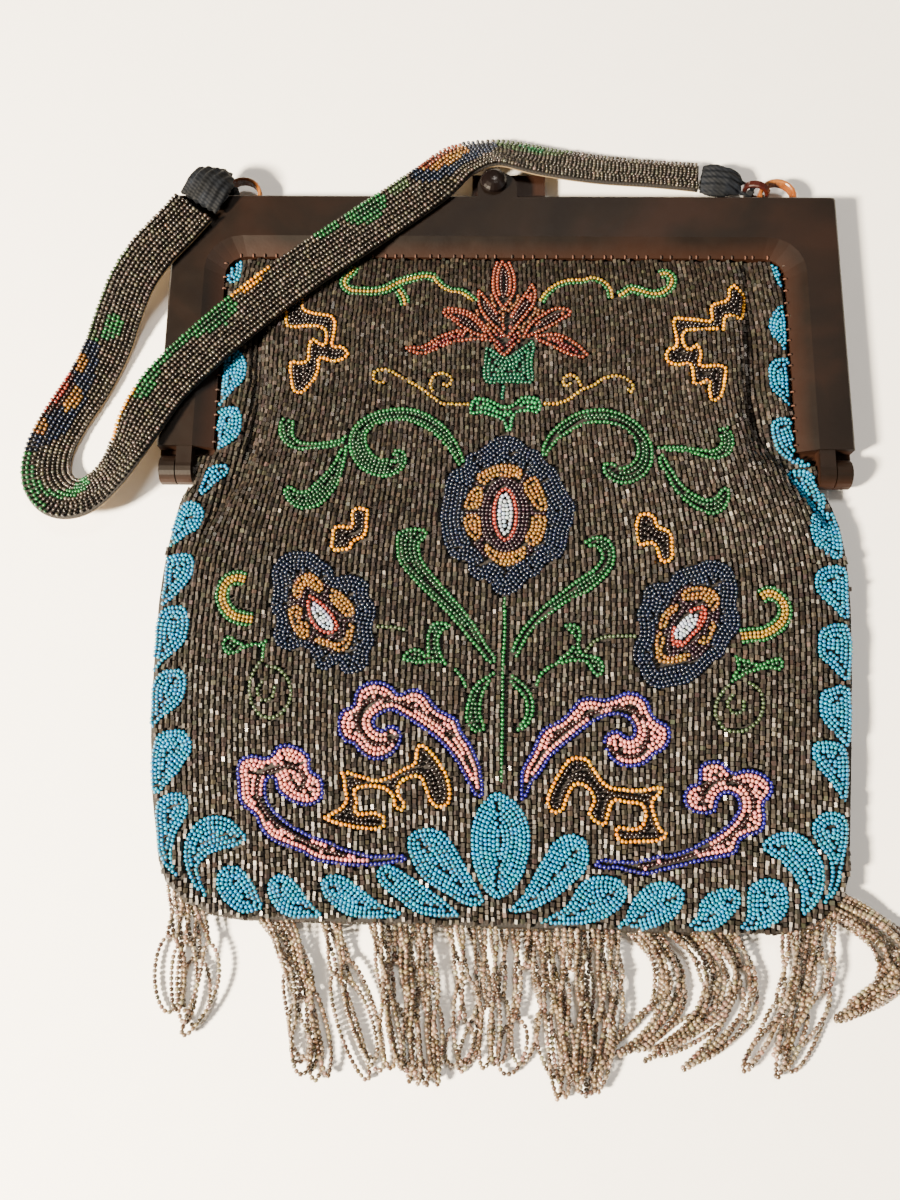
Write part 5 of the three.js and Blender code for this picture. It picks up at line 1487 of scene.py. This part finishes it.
dull_steel, tree, shader = new_material("dull_steel")  # drawn wire, greyed by age
draw = noise(tree, own_place(tree), 700.0, 3.0)
feed(tree, shader, {
    "Base Color": ramp(tree, draw, [(0.3, "#57534e"), (0.7, "#7d7872")]),
    "Metallic": 1.0, "Roughness": between(tree, draw, 0.32, 0.55),
})
FINISH = {
    "frame_front": tortoiseshell, "frame_back": tortoiseshell, "clasp_knob": black_knob,
    "handle_ring_left": amber_glow, "handle_ring_right": amber_glow, "link_ring_right": deep_amber,
    "hinge_pin_left": dull_steel, "hinge_pin_right": dull_steel,
}
for name, finish in FINISH.items():
    for holder in nodes[name].material_slots:
        holder.material = finish
print("finished", len(FINISH), "solid pieces")

# %% [markdown]
# ## Stitches at the mouth
# The cloth is sewn to the frame all round the window, and the thread shows as dark and rusty
# spots at the foot of the bevel. A dashed line in the frame's colour would do from far off. Here
# each stitch is a small arched rod, and all of them are one mesh.

# %% Stitches
STITCH_POINTS, STITCH_LIFT, STITCH_RADIUS = 7, 0.35, 0.24
ROD_SIDES = 5
thread, tree, shader = new_material("waxed_thread")  # twisted cotton, browned by age
fleck = noise(tree, own_place(tree), 500.0)
feed(tree, shader, {
    "Base Color": ramp(tree, fleck, [(0.35, "#1c1512"), (0.7, "#5a3626")]), "Roughness": 0.8,
})


def stitches(start, end, count, inward):
    """Stitch k is an arch, half a sine wave high, from the cloth out over the lip, and its foot
    is at an even step along a line, give or take a little."""
    at = np.linspace(0.02, 0.98, count)[:, None] + rng.normal(0, 0.004, (count, 1))
    foot = np.array(start) + (np.array(end) - np.array(start)) * at
    t = np.linspace(0, 1, STITCH_POINTS)[:, None]
    reach = (0.5 - 0.95 * t) * np.array([*inward, 0])
    lift = np.sin(t * np.pi) * STITCH_LIFT * np.array([0, 0, 1])
    return foot[:, None] + reach + lift


def rods(middles, radius):
    """A five-sided tube round each polyline; the ends are closed by fans."""
    turn = np.arange(ROD_SIDES) * 2 * np.pi / ROD_SIDES
    section = radius * np.stack([np.cos(turn), np.sin(turn)], 1)
    parts, shift = [], 0
    for line in middles:
        way = unit(np.gradient(line, axis=0))
        side = unit(np.cross(way, [0.0, 0.3, 1.0]))
        points, faces = carried(line, side, np.cross(side, way), section)
        parts.append((points, faces + shift))
        shift += len(points)
    return np.vstack([p for p, _ in parts]), np.vstack([f for _, f in parts])


sewn = np.vstack([
    stitches((-76, -10.2, 5.9), (76, -10.2, 5.9), 46, (0, -1)),
    stitches((-77.2, -12, 5.9), (-77.2, -66, 5.9), 15, (1, 0)),
    stitches((77.2, -12, 5.9), (77.2, -66, 5.9), 15, (-1, 0)),
])
outward(mesh_piece("mouth_stitches", *rods(sewn, STITCH_RADIUS), thread, "beaded_cloth"))
print(len(sewn), "stitches")

# %% [markdown]
# ## Floor and light
# The table is plain white card. A sun lamp would light the beads evenly; here one small warm
# lamp stands at the left, as a window does, and gives the shadows and the sparkle. A weak one
# over the top and a faint one at the right soften it, and the warm world keeps the shadows brown.

# %% Floor
paper, tree, shader = new_material("matt_white_card")  # uncoated card, with a faint cloud of fibres
fibre = noise(tree, own_place(tree), 120.0, 3.0)
feed(tree, shader, {
    "Base Color": ramp(tree, fibre, [(0.3, "#fcfcfb"), (0.7, "#fefefd")]), "Roughness": 0.9,
})
card = bpy.data.meshes.new("floor")
card.from_pydata([(-3, -3, 0), (3, -3, 0), (3, 3, 0), (-3, 3, 0)], [], [(0, 1, 2, 3)])
card.materials.append(paper)
floor = bpy.data.objects.new("floor", card)
bpy.context.scene.collection.objects.link(floor)
print("floor material:", paper.name)

# %% Lights
def lamp(name, place, aim, size, watts, code):
    """A square soft lamp at a place, turned to face the aim."""
    light = bpy.data.lights.new(name, "AREA")
    light.size, light.energy, light.color = size, watts, linear(code)
    holder = bpy.data.objects.new(name, light)
    holder.location = place
    holder.rotation_euler = (Vector(aim) - Vector(place)).to_track_quat("-Z", "Y").to_euler()
    bpy.context.scene.collection.objects.link(holder)


lamp("window", (-0.7, -0.45, 0.6), (0, -0.1, 0), 0.13, 88.0, "#ffeccf")
lamp("top", (0.1, 0.3, 0.9), (0, -0.1, 0), 0.2, 5.0, "#fff6ea")
lamp("fill", (0.8, -0.3, 0.6), (0, -0.1, 0), 0.8, 1.2, "#ffffff")
world = bpy.data.worlds.new("studio")
world.use_nodes = True
backdrop = world.node_tree.nodes["Background"]
backdrop.inputs["Color"].default_value = colour("#f6e0c6")
backdrop.inputs["Strength"].default_value = 0.18
bpy.context.scene.world = world
print("three lamps and the world")
